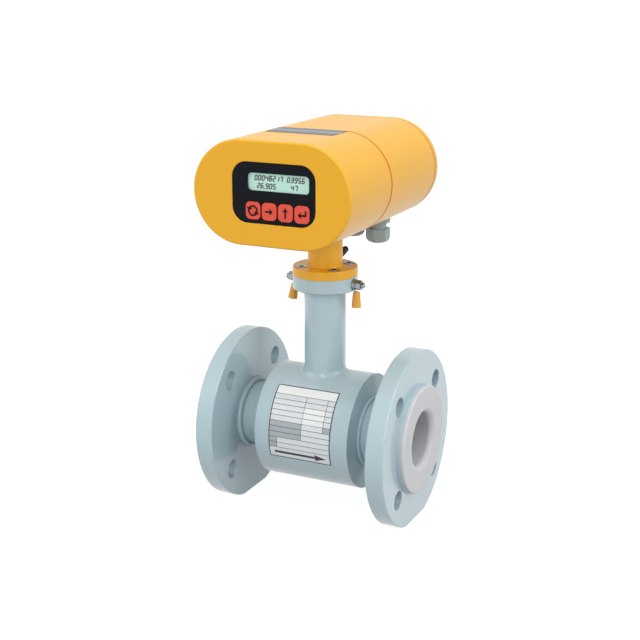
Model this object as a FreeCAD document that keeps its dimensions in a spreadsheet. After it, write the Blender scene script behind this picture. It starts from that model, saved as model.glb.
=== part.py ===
import FreeCAD, Part
import os
import re
import Sketcher

# Electromagnetic flow meter, flanged, with its signal converter carried on a neck above the pipe.
# Frame, in millimetres: the origin is on the pipe axis midway between the two sealing faces,
# +X is the flow direction, -Y faces the display and +Z points up to the converter.

SIZES = {
    # Flow path: liner, measuring tube and flanges, all turned about X
    "face_to_face": 200.0,
    "flow_bore": 50.0,
    "liner_wall": 2.15,
    "liner_mouth_radius": 6.0,
    "flare_diameter": 100.0,
    "flare_thickness": 3.5,
    "flare_rim_radius": 1.2,
    "tube_wall": 3.0,
    "flange_diameter": 165.0,
    "flange_thickness": 17.0,
    "flange_edge_break": 1.0,
    "flange_mouth_radius": 5.0,
    "raised_face_diameter": 102.0,
    "raised_face_height": 3.0,
    "flange_holes": 4,
    "flange_hole_circle": 125.0,
    "flange_hole": 18.0,
    "foot_height": 78.5,
    "flange_weld": 4.4,
    # Coil casing and what it encloses
    "casing_diameter": 108.0,
    "casing_length": 94.0,
    "casing_wall": 3.0,
    "casing_end_thickness": 4.0,
    "casing_weld": 3.0,
    "yoke_wall": 3.0,
    "yoke_length": 50.0,
    "pole_wall": 2.0,
    "pole_gap": 0.3,
    "pole_length": 50.0,
    "pole_angle": 50.0,
    "pole_core": 16.0,
    "coil_bore": 17.0,
    "coil_diameter": 38.0,
    "coil_clearance": 1.13,
    "coil_lift": 2.5,
    "electrode_head": 8.0,
    "electrode_head_thickness": 1.7,
    "electrode_shank": 4.0,
    "electrode_end_space": 4.85,
    "bush_diameter": 10.0,
    "bush_collar": 14.0,
    "bush_collar_thickness": 3.5,
    "bush_reach": 5.0,
    "electrode_nut_flats": 7.0,
    "electrode_nut_thickness": 3.2,
    # Neck of the sensor
    "neck_diameter": 38.6,
    "neck_wall": 2.6,
    "neck_weld": 4.5,
    "joint_height": 145.7,
    "neck_flange_diameter": 60.0,
    "neck_flange_thickness": 13.0,
    "neck_flange_bore": 30.0,
    "neck_flange_edge_break": 0.8,
    "ring_section": 2.0,
    "ring_diameter": 35.0,
    "ring_side_clearance": 0.3,
    "head_bolt": 6.0,
    "head_bolt_circle": 46.0,
    "head_bolt_angle": 45.0,
    "head_bolt_clearance": 0.6,
    "head_bolt_reach": 12.5,
    "head_bolt_end_space": 1.5,
    "head_bolt_head": 10.0,
    "head_bolt_head_height": 6.0,
    "head_bolt_socket": 5.0,
    "head_bolt_socket_depth": 3.0,
    # Earthing studs on the neck flange
    "earth_angle": -4.0,
    "earth_drop": 6.5,
    "earth_thread": 5.0,
    "earth_thread_depth": 8.0,
    "earth_spot_depth": 0.5,
    "earth_spot_diameter": 11.0,
    "earth_washer": 10.0,
    "earth_washer_thickness": 1.0,
    "earth_spring_washer": 9.0,
    "earth_spring_washer_thickness": 1.3,
    "earth_nut_flats": 8.0,
    "earth_nut_thickness": 4.2,
    "earth_stud_end": 2.5,
    "lug_ring": 9.5,
    "lug_sheet": 0.8,
    "lug_hole_clearance": 0.3,
    "lug_tongue_width": 4.4,
    "lug_tongue_start": 3.5,
    "lug_barrel_rise": 0.6,
    "lug_barrel": 4.0,
    "lug_barrel_bore": 2.6,
    "lug_barrel_length": 7.0,
    "sleeve_top_diameter": 6.4,
    "sleeve_bottom_diameter": 8.9,
    "sleeve_length": 14.0,
    "sleeve_wall": 0.8,
    "sleeve_grip": 5.0,
    "sleeve_drop": 7.0,
    "inlet_lug_tilt": 10.0,
    "outlet_lug_tilt": 0.0,
    # Converter housing: an obround prism along Y in three parts
    "head_width": 147.0,
    "head_height": 89.3,
    "head_neck_length": 45.1,
    "head_wall": 4.0,
    "front_reach": 106.65,
    "front_wall": 4.0,
    "front_edge_radius": 1.8,
    "front_seam": 21.4,
    "front_seam_gap": 0.6,
    "front_seam_depth": 0.6,
    "rear_seam": 83.1,
    "rear_seam_gap": 1.4,
    "rear_seam_depth": 1.2,
    "rear_cover_thickness": 9.1,
    "rear_edge_radius": 3.0,
    "spigot_depth": 3.0,
    "spigot_clearance": 0.3,
    "partition_front": 34.0,
    "partition_thickness": 4.0,
    "partition_slot_width": 24.0,
    "partition_slot_height": 10.0,
    "partition_slot_corner": 4.0,
    "partition_slot_lift": 24.0,
    "head_neck_diameter": 32.0,
    "head_neck_bore": 20.0,
    "head_neck_radius": 3.0,
    "head_flange_diameter": 60.0,
    "head_flange_thickness": 8.3,
    "head_flange_radius": 1.2,
    "head_flange_root": 1.0,
    "counterbore_diameter": 11.0,
    "counterbore_depth": 5.5,
    # Screws of the housing
    "column_diameter": 14.0,
    "column_inset": 10.65,
    "tie_angle": 60.0,
    "tie_column_length": 24.0,
    "tie_thread_depth": 16.0,
    "cover_angle": 30.0,
    "cover_column_length": 21.0,
    "cover_thread_depth": 14.0,
    "housing_screw": 4.0,
    "housing_screw_clearance": 0.5,
    "housing_screw_head": 7.0,
    "housing_screw_head_height": 4.0,
    "housing_screw_socket": 3.0,
    "housing_screw_socket_depth": 2.0,
    "screw_end_space": 2.0,
    "cover_counterbore": 8.0,
    "cover_counterbore_depth": 4.4,
    # Display panel in the front wall
    "panel_x": 3.0,
    "panel_rise": 1.0,
    "panel_width": 77.2,
    "panel_height": 51.3,
    "panel_corner": 13.5,
    "panel_thickness": 1.6,
    "panel_sink": 0.5,
    "panel_clearance": 0.1,
    "panel_ledge": 2.0,
    "panel_opening_corner": 8.0,
    "panel_edge_radius": 0.5,
    "window_shift": 4.4,
    "window_rise": 9.4,
    "window_width": 56.8,
    "window_height": 14.9,
    "window_corner": 3.5,
    "window_clearance": 0.1,
    "window_sink": 0.3,
    "display_width": 58.0,
    "display_height": 17.0,
    "display_gap": 0.1,
    "board_width": 88.0,
    "board_height": 50.0,
    "board_thickness": 1.6,
    "board_setback": 11.65,
    "board_boss": 6.0,
    "board_boss_inset_x": 3.2,
    "board_boss_inset_z": 5.0,
    "board_boss_root": 1.0,
    "board_screw": 2.5,
    "board_screw_depth": 5.0,
    "board_screw_head": 4.5,
    "board_screw_head_height": 2.0,
    # Push keys
    "first_key_shift": -18.85,
    "key_pitch": 15.1,
    "key_drop": 14.85,
    "key_width": 13.6,
    "key_height": 14.8,
    "key_corner": 4.0,
    "key_proud": 1.0,
    "key_clearance": 0.3,
    "key_lip": 0.9,
    "key_lip_side": 0.5,
    "key_lip_thickness": 1.0,
    "key_lip_gap": 0.1,
    "key_edge_radius": 0.4,
    "key_stem": 4.0,
    "switch_gap": 1.0,
    "switch_size": 6.0,
    "switch_height": 3.5,
    "switch_plunger": 3.0,
    "switch_plunger_height": 0.6,
    # Electronics behind the display
    "main_board_width": 74.0,
    "main_board_height": 58.0,
    "main_board_setback": 12.0,
    "standoff_diameter": 6.0,
    "standoff_inset": 5.0,
    "terminal_width": 60.0,
    "terminal_height": 14.0,
    "terminal_depth": 13.0,
    "terminal_lift": 8.0,
    "terminal_poles": 8,
    "terminal_pitch": 7.0,
    "terminal_hole": 4.0,
    "terminal_hole_depth": 7.0,
    # Cable glands under the terminal compartment
    "gland_row": 61.0,
    "gland_pitch": 26.0,
    "gland_pad_diameter": 24.0,
    "gland_pad_height": 0.8,
    "gland_inner_pad_width": 76.0,
    "gland_inner_pad_depth": 24.0,
    "gland_inner_pad_height": 1.5,
    "gland_thread": 16.0,
    "gland_thread_clearance": 0.3,
    "gland_bore": 10.5,
    "gland_flats": 20.0,
    "gland_base_height": 5.5,
    "gland_spout": 15.8,
    "gland_spout_length": 11.0,
    "gland_seat_diameter": 12.6,
    "gland_seat_depth": 7.0,
    "gland_end_clearance": 1.0,
    "locknut_thickness": 4.0,
    "seal_bore": 9.0,
    "seal_length": 7.5,
    "nut_height": 13.5,
    "nut_floor": 2.0,
    "nut_mouth": 10.6,
    "nut_dome_radius": 6.0,
    "nut_thread_clearance": 0.05,
    "outer_nut_gap": 5.0,
    "middle_nut_gap": 1.0,
    # Blanking plug in the wall of the converter's neck
    "plug_angle": 60.0,
    "plug_rise": 8.0,
    "plug_hole": 5.0,
    "plug_end_space": 1.0,
    "plug_cap": 8.0,
    "plug_cap_height": 6.0,
    "plug_dome_radius": 2.5,
    # Labels
    "label_thickness": 0.3,
    "label_glue": 0.05,
    "top_label_width": 64.0,
    "top_label_front": 53.0,
    "top_label_back": 23.0,
    "type_plate_left": 32.0,
    "type_plate_right": 30.2,
    "type_plate_low": -21.0,
    "type_plate_high": 54.3,
    # How far a cutting profile reaches past the stock
    "cut_margin": 1.0,
}

DERIVED = {
    "sealing_face": "face_to_face / 2",
    "raised_face": "sealing_face - flare_thickness",
    "plate_face": "raised_face - raised_face_height",
    "flange_back": "plate_face - flange_thickness",
    "tube_bore": "flow_bore + 2 * liner_wall",
    "tube_diameter": "tube_bore + 2 * tube_wall",
    "casing_bore": "casing_diameter - 2 * casing_wall",
    "casing_end": "casing_length / 2",
    "yoke_bore": "casing_bore - 2 * yoke_wall",
    "pole_bore": "tube_diameter + 2 * pole_gap",
    "pole_diameter": "pole_bore + 2 * pole_wall",
    "coil_floor": "pole_diameter / 2 + coil_lift",
    "coil_top": "sqrt((yoke_bore / 2)^2 - (coil_diameter / 2)^2) - coil_clearance",
    "electrode_tip": "yoke_bore / 2 - electrode_end_space",
    "bush_face": "tube_diameter / 2 + bush_reach",
    "neck_bore": "neck_diameter - 2 * neck_wall",
    "neck_flange_base": "joint_height - neck_flange_thickness",
    "bolt_seat": "head_flange_top - counterbore_depth",
    "head_flange_top": "joint_height + head_flange_thickness",
    "earth_height": "joint_height - earth_drop",
    "earth_seat": "neck_flange_diameter / 2 - earth_spot_depth",
    "lug_seat": "earth_seat + earth_washer_thickness",
    "outer_washer_seat": "lug_seat + lug_sheet",
    "spring_seat": "outer_washer_seat + earth_washer_thickness",
    "earth_nut_seat": "spring_seat + earth_spring_washer_thickness",
    "earth_tip": "earth_nut_seat + earth_nut_thickness + earth_stud_end",
    "lug_axis": "lug_seat + lug_barrel / 2",
    "plug_height": "head_flange_top + plug_rise",
    "head_floor": "joint_height + head_neck_length",
    "head_axis": "head_floor + head_height / 2",
    "head_top": "head_floor + head_height",
    "cavity_width": "head_width - 2 * head_wall",
    "cavity_height": "head_height - 2 * head_wall",
    "front_face": "-front_reach",
    "front_back": "-front_seam - front_seam_gap / 2",
    "main_front": "-front_seam + front_seam_gap / 2",
    "main_back": "rear_seam - rear_seam_gap / 2",
    "cover_front": "rear_seam + rear_seam_gap / 2",
    "cover_back": "rear_seam + rear_cover_thickness",
    "partition_back": "partition_front + partition_thickness",
    "cover_column_end": "main_back - spigot_depth - spigot_clearance",
    "end_centre": "head_width / 2 - head_height / 2",
    "column_radius": "head_height / 2 - column_inset",
    "tie_x": "end_centre + column_radius * cos(tie_angle)",
    "tie_z": "column_radius * sin(tie_angle)",
    "cover_x": "end_centre + column_radius * cos(cover_angle)",
    "cover_z": "column_radius * sin(cover_angle)",
    "panel_z": "head_axis + panel_rise",
    "window_x": "panel_x + window_shift",
    "window_z": "panel_z + window_rise",
    "key_z": "panel_z - key_drop",
    "panel_front": "front_face + panel_sink",
    "panel_back": "panel_front + panel_thickness",
    "inner_front": "front_face + front_wall",
    "display_front": "panel_back + display_gap",
    "board_front": "front_face + board_setback",
    "board_back": "board_front + board_thickness",
    "board_boss_x": "board_width / 2 - board_boss_inset_x",
    "board_boss_z": "board_height / 2 - board_boss_inset_z",
    "key_front": "panel_front - key_proud",
    "lip_front": "panel_back + key_lip_gap",
    "lip_back": "lip_front + key_lip_thickness",
    "switch_front": "board_front - switch_height",
    "plunger_front": "switch_front - switch_plunger_height",
    "stem_back": "plunger_front - switch_gap",
    "main_board_back": "partition_front - main_board_setback",
    "main_board_front": "main_board_back - board_thickness",
    "standoff_x": "main_board_width / 2 - standoff_inset",
    "standoff_z": "main_board_height / 2 - standoff_inset",
    "gland_pad_face": "head_floor - gland_pad_height",
    "gland_base": "gland_pad_face - gland_base_height",
    "spout_end": "gland_base - gland_spout_length",
    "inner_pad_top": "head_floor + head_wall + gland_inner_pad_height",
    "locknut_top": "inner_pad_top + locknut_thickness",
    "seal_top": "spout_end + gland_seat_depth",
    "nut_corner": "gland_flats / 2 / cos(30)",
    "plate_inner": "casing_diameter / 2 + label_glue",
}

doc = FreeCAD.newDocument("flow_meter")
sheet = doc.addObject("Spreadsheet::Sheet", "dims")
for row, (name, size) in enumerate(SIZES.items(), 1):
    sheet.set("A%d" % row, name)
    sheet.set("B%d" % row, str(size))
    sheet.setAlias("B%d" % row, name)
doc.recompute()

pieces = []
PLANES = {"X": "YZ_Plane", "Y": "XZ_Plane", "Z": "XY_Plane"}


# Expressions and bodies

def full(expression):
    """Spell out an expression: sizes become sheet cells, derived names become their formulas."""
    def word(match):
        name = match.group(0)
        if name in DERIVED:
            return "(%s)" % full(DERIVED[name])
        return "dims." + name if name in SIZES else name
    return re.sub(r"[a-z_]+", word, str(expression))


def number(expression):
    return float(sheet.evalExpression(full(expression)))


def bind(item, prop, expression):
    item.setExpression(prop, full(expression))


def new_body(label):
    """An empty body that becomes the sub-part of this name."""
    body = doc.addObject("PartDesign::Body", label)
    body.Label = label
    pieces.append(body)
    return body


def place(body, x="0", y="0", z="0", axis=(0, 0, 1), angle="0"):
    """Move a body to (x, y, z), turned by angle degrees about an axis direction."""
    start = FreeCAD.Vector(number(x), number(y), number(z))
    body.Placement = FreeCAD.Placement(start, FreeCAD.Rotation(FreeCAD.Vector(*axis), number(angle)))
    bind(body, "Placement.Base.x", x)
    bind(body, "Placement.Base.y", y)
    bind(body, "Placement.Base.z", z)


# Loops: a list of corners (x, y) or (x, y, radius), or one disc. A radius makes the edge that
# starts at the corner an arc: anticlockwise, or clockwise if it is given as clockwise.

def disc(x, y, diameter):
    return {"x": x, "y": y, "diameter": diameter}


def rectangle(x, y, width, height):
    left, right = "%s - (%s) / 2" % (x, width), "%s + (%s) / 2" % (x, width)
    low, high = "%s - (%s) / 2" % (y, height), "%s + (%s) / 2" % (y, height)
    return [(left, low), (right, low), (right, high), (left, high)]


def rounded(x, y, width, height, radius):
    """Rectangle about (x, y) with arcs at its four corners."""
    half_x, half_y = "(%s) / 2" % width, "(%s) / 2" % height
    flat_x, flat_y = "(%s - (%s))" % (half_x, radius), "(%s - (%s))" % (half_y, radius)
    corners = [(flat_x, "-" + half_y, radius), (half_x, "-" + flat_y), (half_x, flat_y, radius),
               (flat_x, half_y), ("-" + flat_x, half_y, radius), ("-" + half_x, flat_y),
               ("-" + half_x, "-" + flat_y, radius), ("-" + flat_x, "-" + half_y)]
    return [("%s + %s" % (x, c[0]), "%s + %s" % (y, c[1])) + tuple(c[2:]) for c in corners]


def obround(width, height):
    """The housing's outline about its own axis: two flats joined by half circles."""
    half_x, radius = "(%s) / 2" % width, "(%s) / 2" % height
    flat = "(%s - %s)" % (half_x, radius)
    corners = [(flat, "-" + radius, radius), (half_x, "0", radius), (flat, radius),
               ("-" + flat, radius, radius), ("-" + half_x, "0", radius), ("-" + flat, "-" + radius)]
    return [(c[0], "head_axis + " + c[1]) + tuple(c[2:]) for c in corners]


def hexagon(x, y, flats, first=30):
    corner = "(%s) / 2 / cos(30)" % flats
    return [("%s + %s * cos(%d)" % (x, corner, first + 60 * i),
             "%s + %s * sin(%d)" % (y, corner, first + 60 * i)) for i in range(6)]


def mirrored_pairs(x, y):
    """The four places (+-x, +-y)."""
    return [("%s(%s)" % (i, x), "%s(%s)" % (j, y)) for i in ("", "-") for j in ("", "-")]


def draw(sketch, loop):
    """Add one closed loop to a sketch and bind its places and sizes."""
    def fix(kind, geometry, vertex, expression):
        size = number(expression)
        where = (-1, 1, geometry, vertex) if vertex else (geometry,)
        index = sketch.addConstraint(Sketcher.Constraint(kind, *where, size))
        bind(sketch, "Constraints[%d]" % index, expression)

    if isinstance(loop, dict):
        centre = FreeCAD.Vector(number(loop["x"]), number(loop["y"]), 0)
        ring = sketch.addGeometry(Part.Circle(centre, FreeCAD.Vector(0, 0, 1), number(loop["diameter"]) / 2))
        fix("DistanceX", ring, 3, loop["x"])
        fix("DistanceY", ring, 3, loop["y"])
        fix("Diameter", ring, 0, loop["diameter"])
        return
    corners = [FreeCAD.Vector(number(c[0]), number(c[1]), 0) for c in loop]
    first = sketch.GeometryCount
    for i, start in enumerate(corners):
        end = corners[(i + 1) % len(corners)]
        sketch.addGeometry(arc(start, end, loop[i][2]) if len(loop[i]) > 2 else Part.LineSegment(start, end))
    for i, corner in enumerate(loop):
        edge, following = first + i, first + (i + 1) % len(loop)
        starts = {True: 2, False: 1}
        here = starts[clockwise(corner)]
        after = starts[clockwise(loop[(i + 1) % len(loop)])]
        sketch.addConstraint(Sketcher.Constraint("Coincident", edge, 3 - here, following, after))
        fix("DistanceX", edge, here, corner[0])
        fix("DistanceY", edge, here, corner[1])
        if len(corner) > 2:
            fix("Radius", edge, 0, corner[2].replace("clockwise ", ""))


def clockwise(corner):
    return len(corner) > 2 and corner[2].startswith("clockwise ")


def arc(start, end, radius):
    """Arc of a circle from start to end, kept shorter than a half turn."""
    backwards = radius.startswith("clockwise ")
    size = number(radius.replace("clockwise ", ""))
    if backwards:
        start, end = end, start
    chord = end - start
    middle = (start + end) * 0.5
    height = max(size ** 2 - (chord.Length / 2) ** 2, 0) ** 0.5
    left = FreeCAD.Vector(-chord.y, chord.x, 0).normalize()
    centre = middle + left * height
    deepest = centre - left * size
    return Part.Arc(start, deepest, end)


def sketch_on(body, normal, offset, loops, swing=None):
    """Sketch on the body's origin plane across an axis, moved along it; swing turns it about Z."""
    plane = next(f for f in body.Origin.OriginFeatures if f.Role == PLANES[normal])
    sketch = body.newObject("Sketcher::SketchObject", "%s_profile" % body.Name)
    sketch.AttachmentSupport = (plane, [""])
    sketch.MapMode = "FlatFace"
    for loop in loops:
        draw(sketch, loop)
    if swing is not None:
        turn = FreeCAD.Rotation(FreeCAD.Vector(0, 1, 0), number(swing))
        sketch.AttachmentOffset = FreeCAD.Placement(FreeCAD.Vector(), turn)
        bind(sketch, ".AttachmentOffset.Base.x", "(%s) * sin(%s)" % (offset, swing))
        bind(sketch, ".AttachmentOffset.Base.z", "(%s) * cos(%s)" % (offset, swing))
    elif offset != "0":
        bind(sketch, ".AttachmentOffset.Base.z", offset)
    return sketch


# Features. X, Y and Z name the axis that a profile is pushed along or turned about.

def feature(body, kind, sketch):
    made = body.newObject("PartDesign::" + kind, "%s_%s" % (body.Name, kind.lower()))
    made.Profile = sketch
    sketch.Visibility = False
    return made


def pad(body, normal, loops, low, high, swing=None):
    """Add the profile's prism from low to high along an axis."""
    start = "-(%s)" % high if normal == "Y" else low
    made = feature(body, "Pad", sketch_on(body, normal, start, loops, swing))
    bind(made, "Length", "(%s) - (%s)" % (high, low))
    return made


def cut(body, normal, loops, low, high, swing=None):
    """Take the profile's prism from low to high away, and check that it removes something."""
    doc.recompute()
    before = body.Shape.Volume
    start = "-(%s)" % low if normal == "Y" else high
    made = feature(body, "Pocket", sketch_on(body, normal, start, loops, swing))
    bind(made, "Length", "(%s) - (%s)" % (high, low))
    doc.recompute()
    if not body.Shape.Volume < before:
        raise ValueError("a pocket of %s removes nothing" % body.Label)
    return made


def revolve(body, about, loops, kind="Revolution"):
    """Turn profiles about an axis: (x, radius) about X, (radius, y) about Y, (radius, z) about Z."""
    normal = "Z" if about == "Y" else "Y"
    sketch = sketch_on(body, normal, "0", loops)
    made = feature(body, kind, sketch)
    made.ReferenceAxis = (sketch, ["H_Axis" if about == "X" else "V_Axis"])
    made.Angle = 360
    return made


def dress(body, kind, size, chosen):
    """Fillet or chamfer the edges that chosen picks."""
    doc.recompute()
    base = body.Tip
    names = ["Edge%d" % (i + 1) for i, edge in enumerate(base.Shape.Edges) if chosen(edge)]
    if not names:
        raise ValueError("no edge of %s to dress" % body.Label)
    made = body.newObject("PartDesign::" + kind, "%s_%s" % (body.Name, kind.lower()))
    made.Base = (base, names)
    bind(made, "Radius" if kind == "Fillet" else "Size", size)
    return made


def repeat_about(body, original, role, count):
    """Polar pattern of one feature about an axis of the body."""
    pattern = body.newObject("PartDesign::PolarPattern", "%s_pattern" % body.Name)
    pattern.Originals = [original]
    axis = next(f for f in body.Origin.OriginFeatures if f.Role == role)
    pattern.Axis = (axis, [""])
    pattern.Angle = 360
    bind(pattern, "Occurrences", count)
    body.Tip = pattern
    return pattern


def near(one, other):
    return abs(one - other) < 0.001


def lies_at(edge, axis, expression):
    """True where an edge lies whole in the plane across an axis at this place."""
    box, place_value = edge.BoundBox, number(expression)
    low, high = getattr(box, axis + "Min"), getattr(box, axis + "Max")
    return near(low, place_value) and near(high, place_value)


def round_of(edge, diameter):
    """True for a circular edge of this diameter."""
    curve = edge.Curve
    return isinstance(curve, Part.Circle) and near(curve.Radius, number(diameter) / 2)


# Flow path

def flange(label, half_turn):
    """Plate with raised face, hole circle, rounded mouth and a flat to stand on."""
    body = new_body(label)
    bore, plate, face = "tube_bore / 2", "flange_diameter / 2", "raised_face_diameter / 2"
    revolve(body, "X", [[("flange_back", bore), ("raised_face", bore), ("raised_face", face),
                         ("plate_face", face), ("plate_face", plate), ("flange_back", plate)]])
    dress(body, "Chamfer", "flange_edge_break", lambda e: round_of(e, "flange_diameter"))
    dress(body, "Fillet", "flange_mouth_radius",
          lambda e: round_of(e, "tube_bore") and lies_at(e, "X", "raised_face"))
    place_y, place_z = "flange_hole_circle / 2 * cos(45)", "flange_hole_circle / 2 * sin(45)"
    hole = cut(body, "X", [disc(place_y, place_z, "flange_hole")], "flange_back", "plate_face")
    repeat_about(body, hole, "X_Axis", "flange_holes")
    foot = rectangle("flange_back + flange_thickness / 2", "0", "2 * flange_thickness", "flange_diameter")
    cut(body, "Z", [foot], "-flange_diameter / 2", "-foot_height")
    place(body, angle="180" if half_turn else "0")


def measuring_tube():
    body = new_body("measuring_tube")
    revolve(body, "X", [[("-(flange_back)", "tube_bore / 2"), ("flange_back", "tube_bore / 2"),
                         ("flange_back", "tube_diameter / 2"), ("-(flange_back)", "tube_diameter / 2")]])
    cut(body, "Y", [disc("0", "0", "bush_diameter")], "-tube_diameter", "tube_diameter")


def beads(label, face, side, leg):
    """Two weld beads round the tube at x = +-face, on the inside (-) or outside (+) of the faces."""
    body = new_body(label)
    root, toe = "tube_diameter / 2", "tube_diameter / 2 + " + leg
    end = "(%s %s %s)" % (face, side, leg)
    revolve(body, "X", [[(end, root), (face, root), (face, toe)],
                        [("-" + end, root), ("-(%s)" % face, root), ("-(%s)" % face, toe)]])


def liner():
    """Tube of fluoropolymer whose ends are flared over the raised faces."""
    body = new_body("liner")
    bore, outer, rim = "flow_bore / 2", "tube_bore / 2", "flare_diameter / 2"
    revolve(body, "X", [[("-(sealing_face)", bore), ("sealing_face", bore), ("sealing_face", rim),
                         ("raised_face", rim), ("raised_face", outer), ("-(raised_face)", outer),
                         ("-(raised_face)", rim), ("-(sealing_face)", rim)]])
    dress(body, "Fillet", "flange_mouth_radius",
          lambda e: round_of(e, "tube_bore") and (lies_at(e, "X", "raised_face")
                                                  or lies_at(e, "X", "-(raised_face)")))
    dress(body, "Fillet", "liner_mouth_radius", lambda e: round_of(e, "flow_bore"))
    dress(body, "Fillet", "flare_rim_radius",
          lambda e: round_of(e, "flare_diameter") and (lies_at(e, "X", "sealing_face")
                                                       or lies_at(e, "X", "-(sealing_face)")))
    cut(body, "Y", [disc("0", "0", "electrode_head")], "-tube_diameter", "tube_diameter")


# Electrodes, front and rear, on the Y axis

def electrodes():
    """Each has a head flush with the liner's bore and a threaded shank."""
    body = new_body("electrodes")
    for side in ("", "-"):
        head = "(flow_bore / 2 + electrode_head_thickness)"
        ends = sorted(["0", side + head], key=number)
        pad(body, "Y", [disc("0", "0", "electrode_head")], *ends)
        ends = sorted([side + head, "%s(electrode_tip)" % side], key=number)
        pad(body, "Y", [disc("0", "0", "electrode_shank")], *ends)
    cut(body, "X", [disc("0", "0", "flow_bore")], "-electrode_head", "electrode_head")


def electrode_bushes():
    """Insulating bush through the tube wall, with a collar outside."""
    body = new_body("electrode_bushes")
    for side in ("", "-"):
        ends = sorted(["0", "%s(bush_face)" % side], key=number)
        pad(body, "Y", [disc("0", "0", "bush_diameter")], *ends)
        ends = sorted(["%s(bush_face - bush_collar_thickness)" % side, "%s(bush_face)" % side], key=number)
        pad(body, "Y", [disc("0", "0", "bush_collar")], *ends)
    cut(body, "X", [disc("0", "0", "tube_bore")], "-bush_collar", "bush_collar")
    cut(body, "Y", [disc("0", "0", "electrode_shank")], "-casing_bore / 2", "casing_bore / 2")


def electrode_nuts():
    body = new_body("electrode_nuts")
    loops = [hexagon("0", "0", "electrode_nut_flats"), disc("0", "0", "electrode_shank")]
    top = "bush_face + electrode_nut_thickness"
    pad(body, "Y", loops, "bush_face", top)
    pad(body, "Y", loops, "-(%s)" % top, "-(bush_face)")


# Coil casing and the magnet inside it

def coil_casing():
    body = new_body("coil_casing")
    revolve(body, "X", [[("-(casing_end)", "casing_bore / 2"), ("casing_end", "casing_bore / 2"),
                         ("casing_end", "casing_diameter / 2"), ("-(casing_end)", "casing_diameter / 2")]])
    cut(body, "Z", [disc("0", "0", "neck_bore")], "0", "casing_diameter")


def casing_ends():
    """The two discs that close the casing round the tube."""
    body = new_body("casing_ends")
    inner, outer = "tube_diameter / 2", "casing_bore / 2"
    step = "(casing_end - casing_end_thickness)"
    revolve(body, "X", [
        [(step, inner), ("casing_end", inner), ("casing_end", outer), (step, outer)],
        [("-" + step, inner), ("-(casing_end)", inner), ("-(casing_end)", outer), ("-" + step, outer)]])


def flux_yoke():
    """Soft iron ring inside the casing that closes the magnetic path."""
    body = new_body("flux_yoke")
    inner, outer = "yoke_bore / 2", "casing_bore / 2"
    revolve(body, "X", [[("-yoke_length / 2", inner), ("yoke_length / 2", inner),
                         ("yoke_length / 2", outer), ("-yoke_length / 2", outer)]])


def pole_pieces():
    """Above and below the tube: a curved shoe with a core that reaches the yoke."""
    body = new_body("pole_pieces")
    inner, outer = "pole_bore / 2", "pole_diameter / 2"
    across, up = "sin(pole_angle)", "cos(pole_angle)"
    for side, one_way, other_way in (("", "", "clockwise "), ("-", "clockwise ", "")):
        high_outer, high_inner = "%s%s * %s" % (side, outer, up), "%s%s * %s" % (side, inner, up)
        shoe = [("%s * %s" % (outer, across), high_outer, one_way + outer),
                ("-%s * %s" % (outer, across), high_outer),
                ("-%s * %s" % (inner, across), high_inner, other_way + inner),
                ("%s * %s" % (inner, across), high_inner)]
        pad(body, "X", [shoe], "-pole_length / 2", "pole_length / 2")
        ends = sorted(["%s(pole_diameter / 2 - pole_wall / 2)" % side,
                       "%s(yoke_bore / 2)" % side], key=number)
        pad(body, "Z", [disc("0", "0", "pole_core")], *ends)
    cut(body, "X", [disc("0", "0", "casing_diameter"), disc("0", "0", "yoke_bore")],
        "-pole_core", "pole_core")


def coils():
    """The two windings, one round the core of each pole piece."""
    body = new_body("coils")
    loops = [disc("0", "0", "coil_diameter"), disc("0", "0", "coil_bore")]
    pad(body, "Z", loops, "coil_floor", "coil_top")
    pad(body, "Z", loops, "-(coil_top)", "-(coil_floor)")


# Neck of the sensor

def neck_tube():
    """Tube whose lower end is cut to sit on the casing."""
    body = new_body("neck_tube")
    pad(body, "Z", [disc("0", "0", "neck_diameter"), disc("0", "0", "neck_bore")], "0", "neck_flange_base")
    cut(body, "X", [disc("0", "0", "casing_diameter")], "-neck_diameter", "neck_diameter")


def neck_weld():
    """Fillet weld round the saddle between the neck and the casing."""
    body = new_body("neck_weld")
    top = "neck_flange_base"
    pad(body, "X", [disc("0", "0", "casing_diameter")], "-(casing_end)", "casing_end")
    pad(body, "Z", [disc("0", "0", "neck_diameter")], "0", top)
    dress(body, "Fillet", "neck_weld",
          lambda e: 0 < e.BoundBox.ZMin and e.BoundBox.XMax < number("casing_end - neck_wall")
          and e.BoundBox.ZMax < number("neck_flange_base - neck_wall"))
    cut(body, "X", [disc("0", "0", "casing_diameter")], "-(casing_end)", "casing_end")
    cut(body, "Z", [disc("0", "0", "neck_diameter")], "0", top)


def bolt_places():
    """Centres of the head bolts, seen from above."""
    return [("head_bolt_circle / 2 * cos(head_bolt_angle + %d)" % turn,
             "head_bolt_circle / 2 * sin(head_bolt_angle + %d)" % turn) for turn in (0, 90, 180, 270)]


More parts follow.
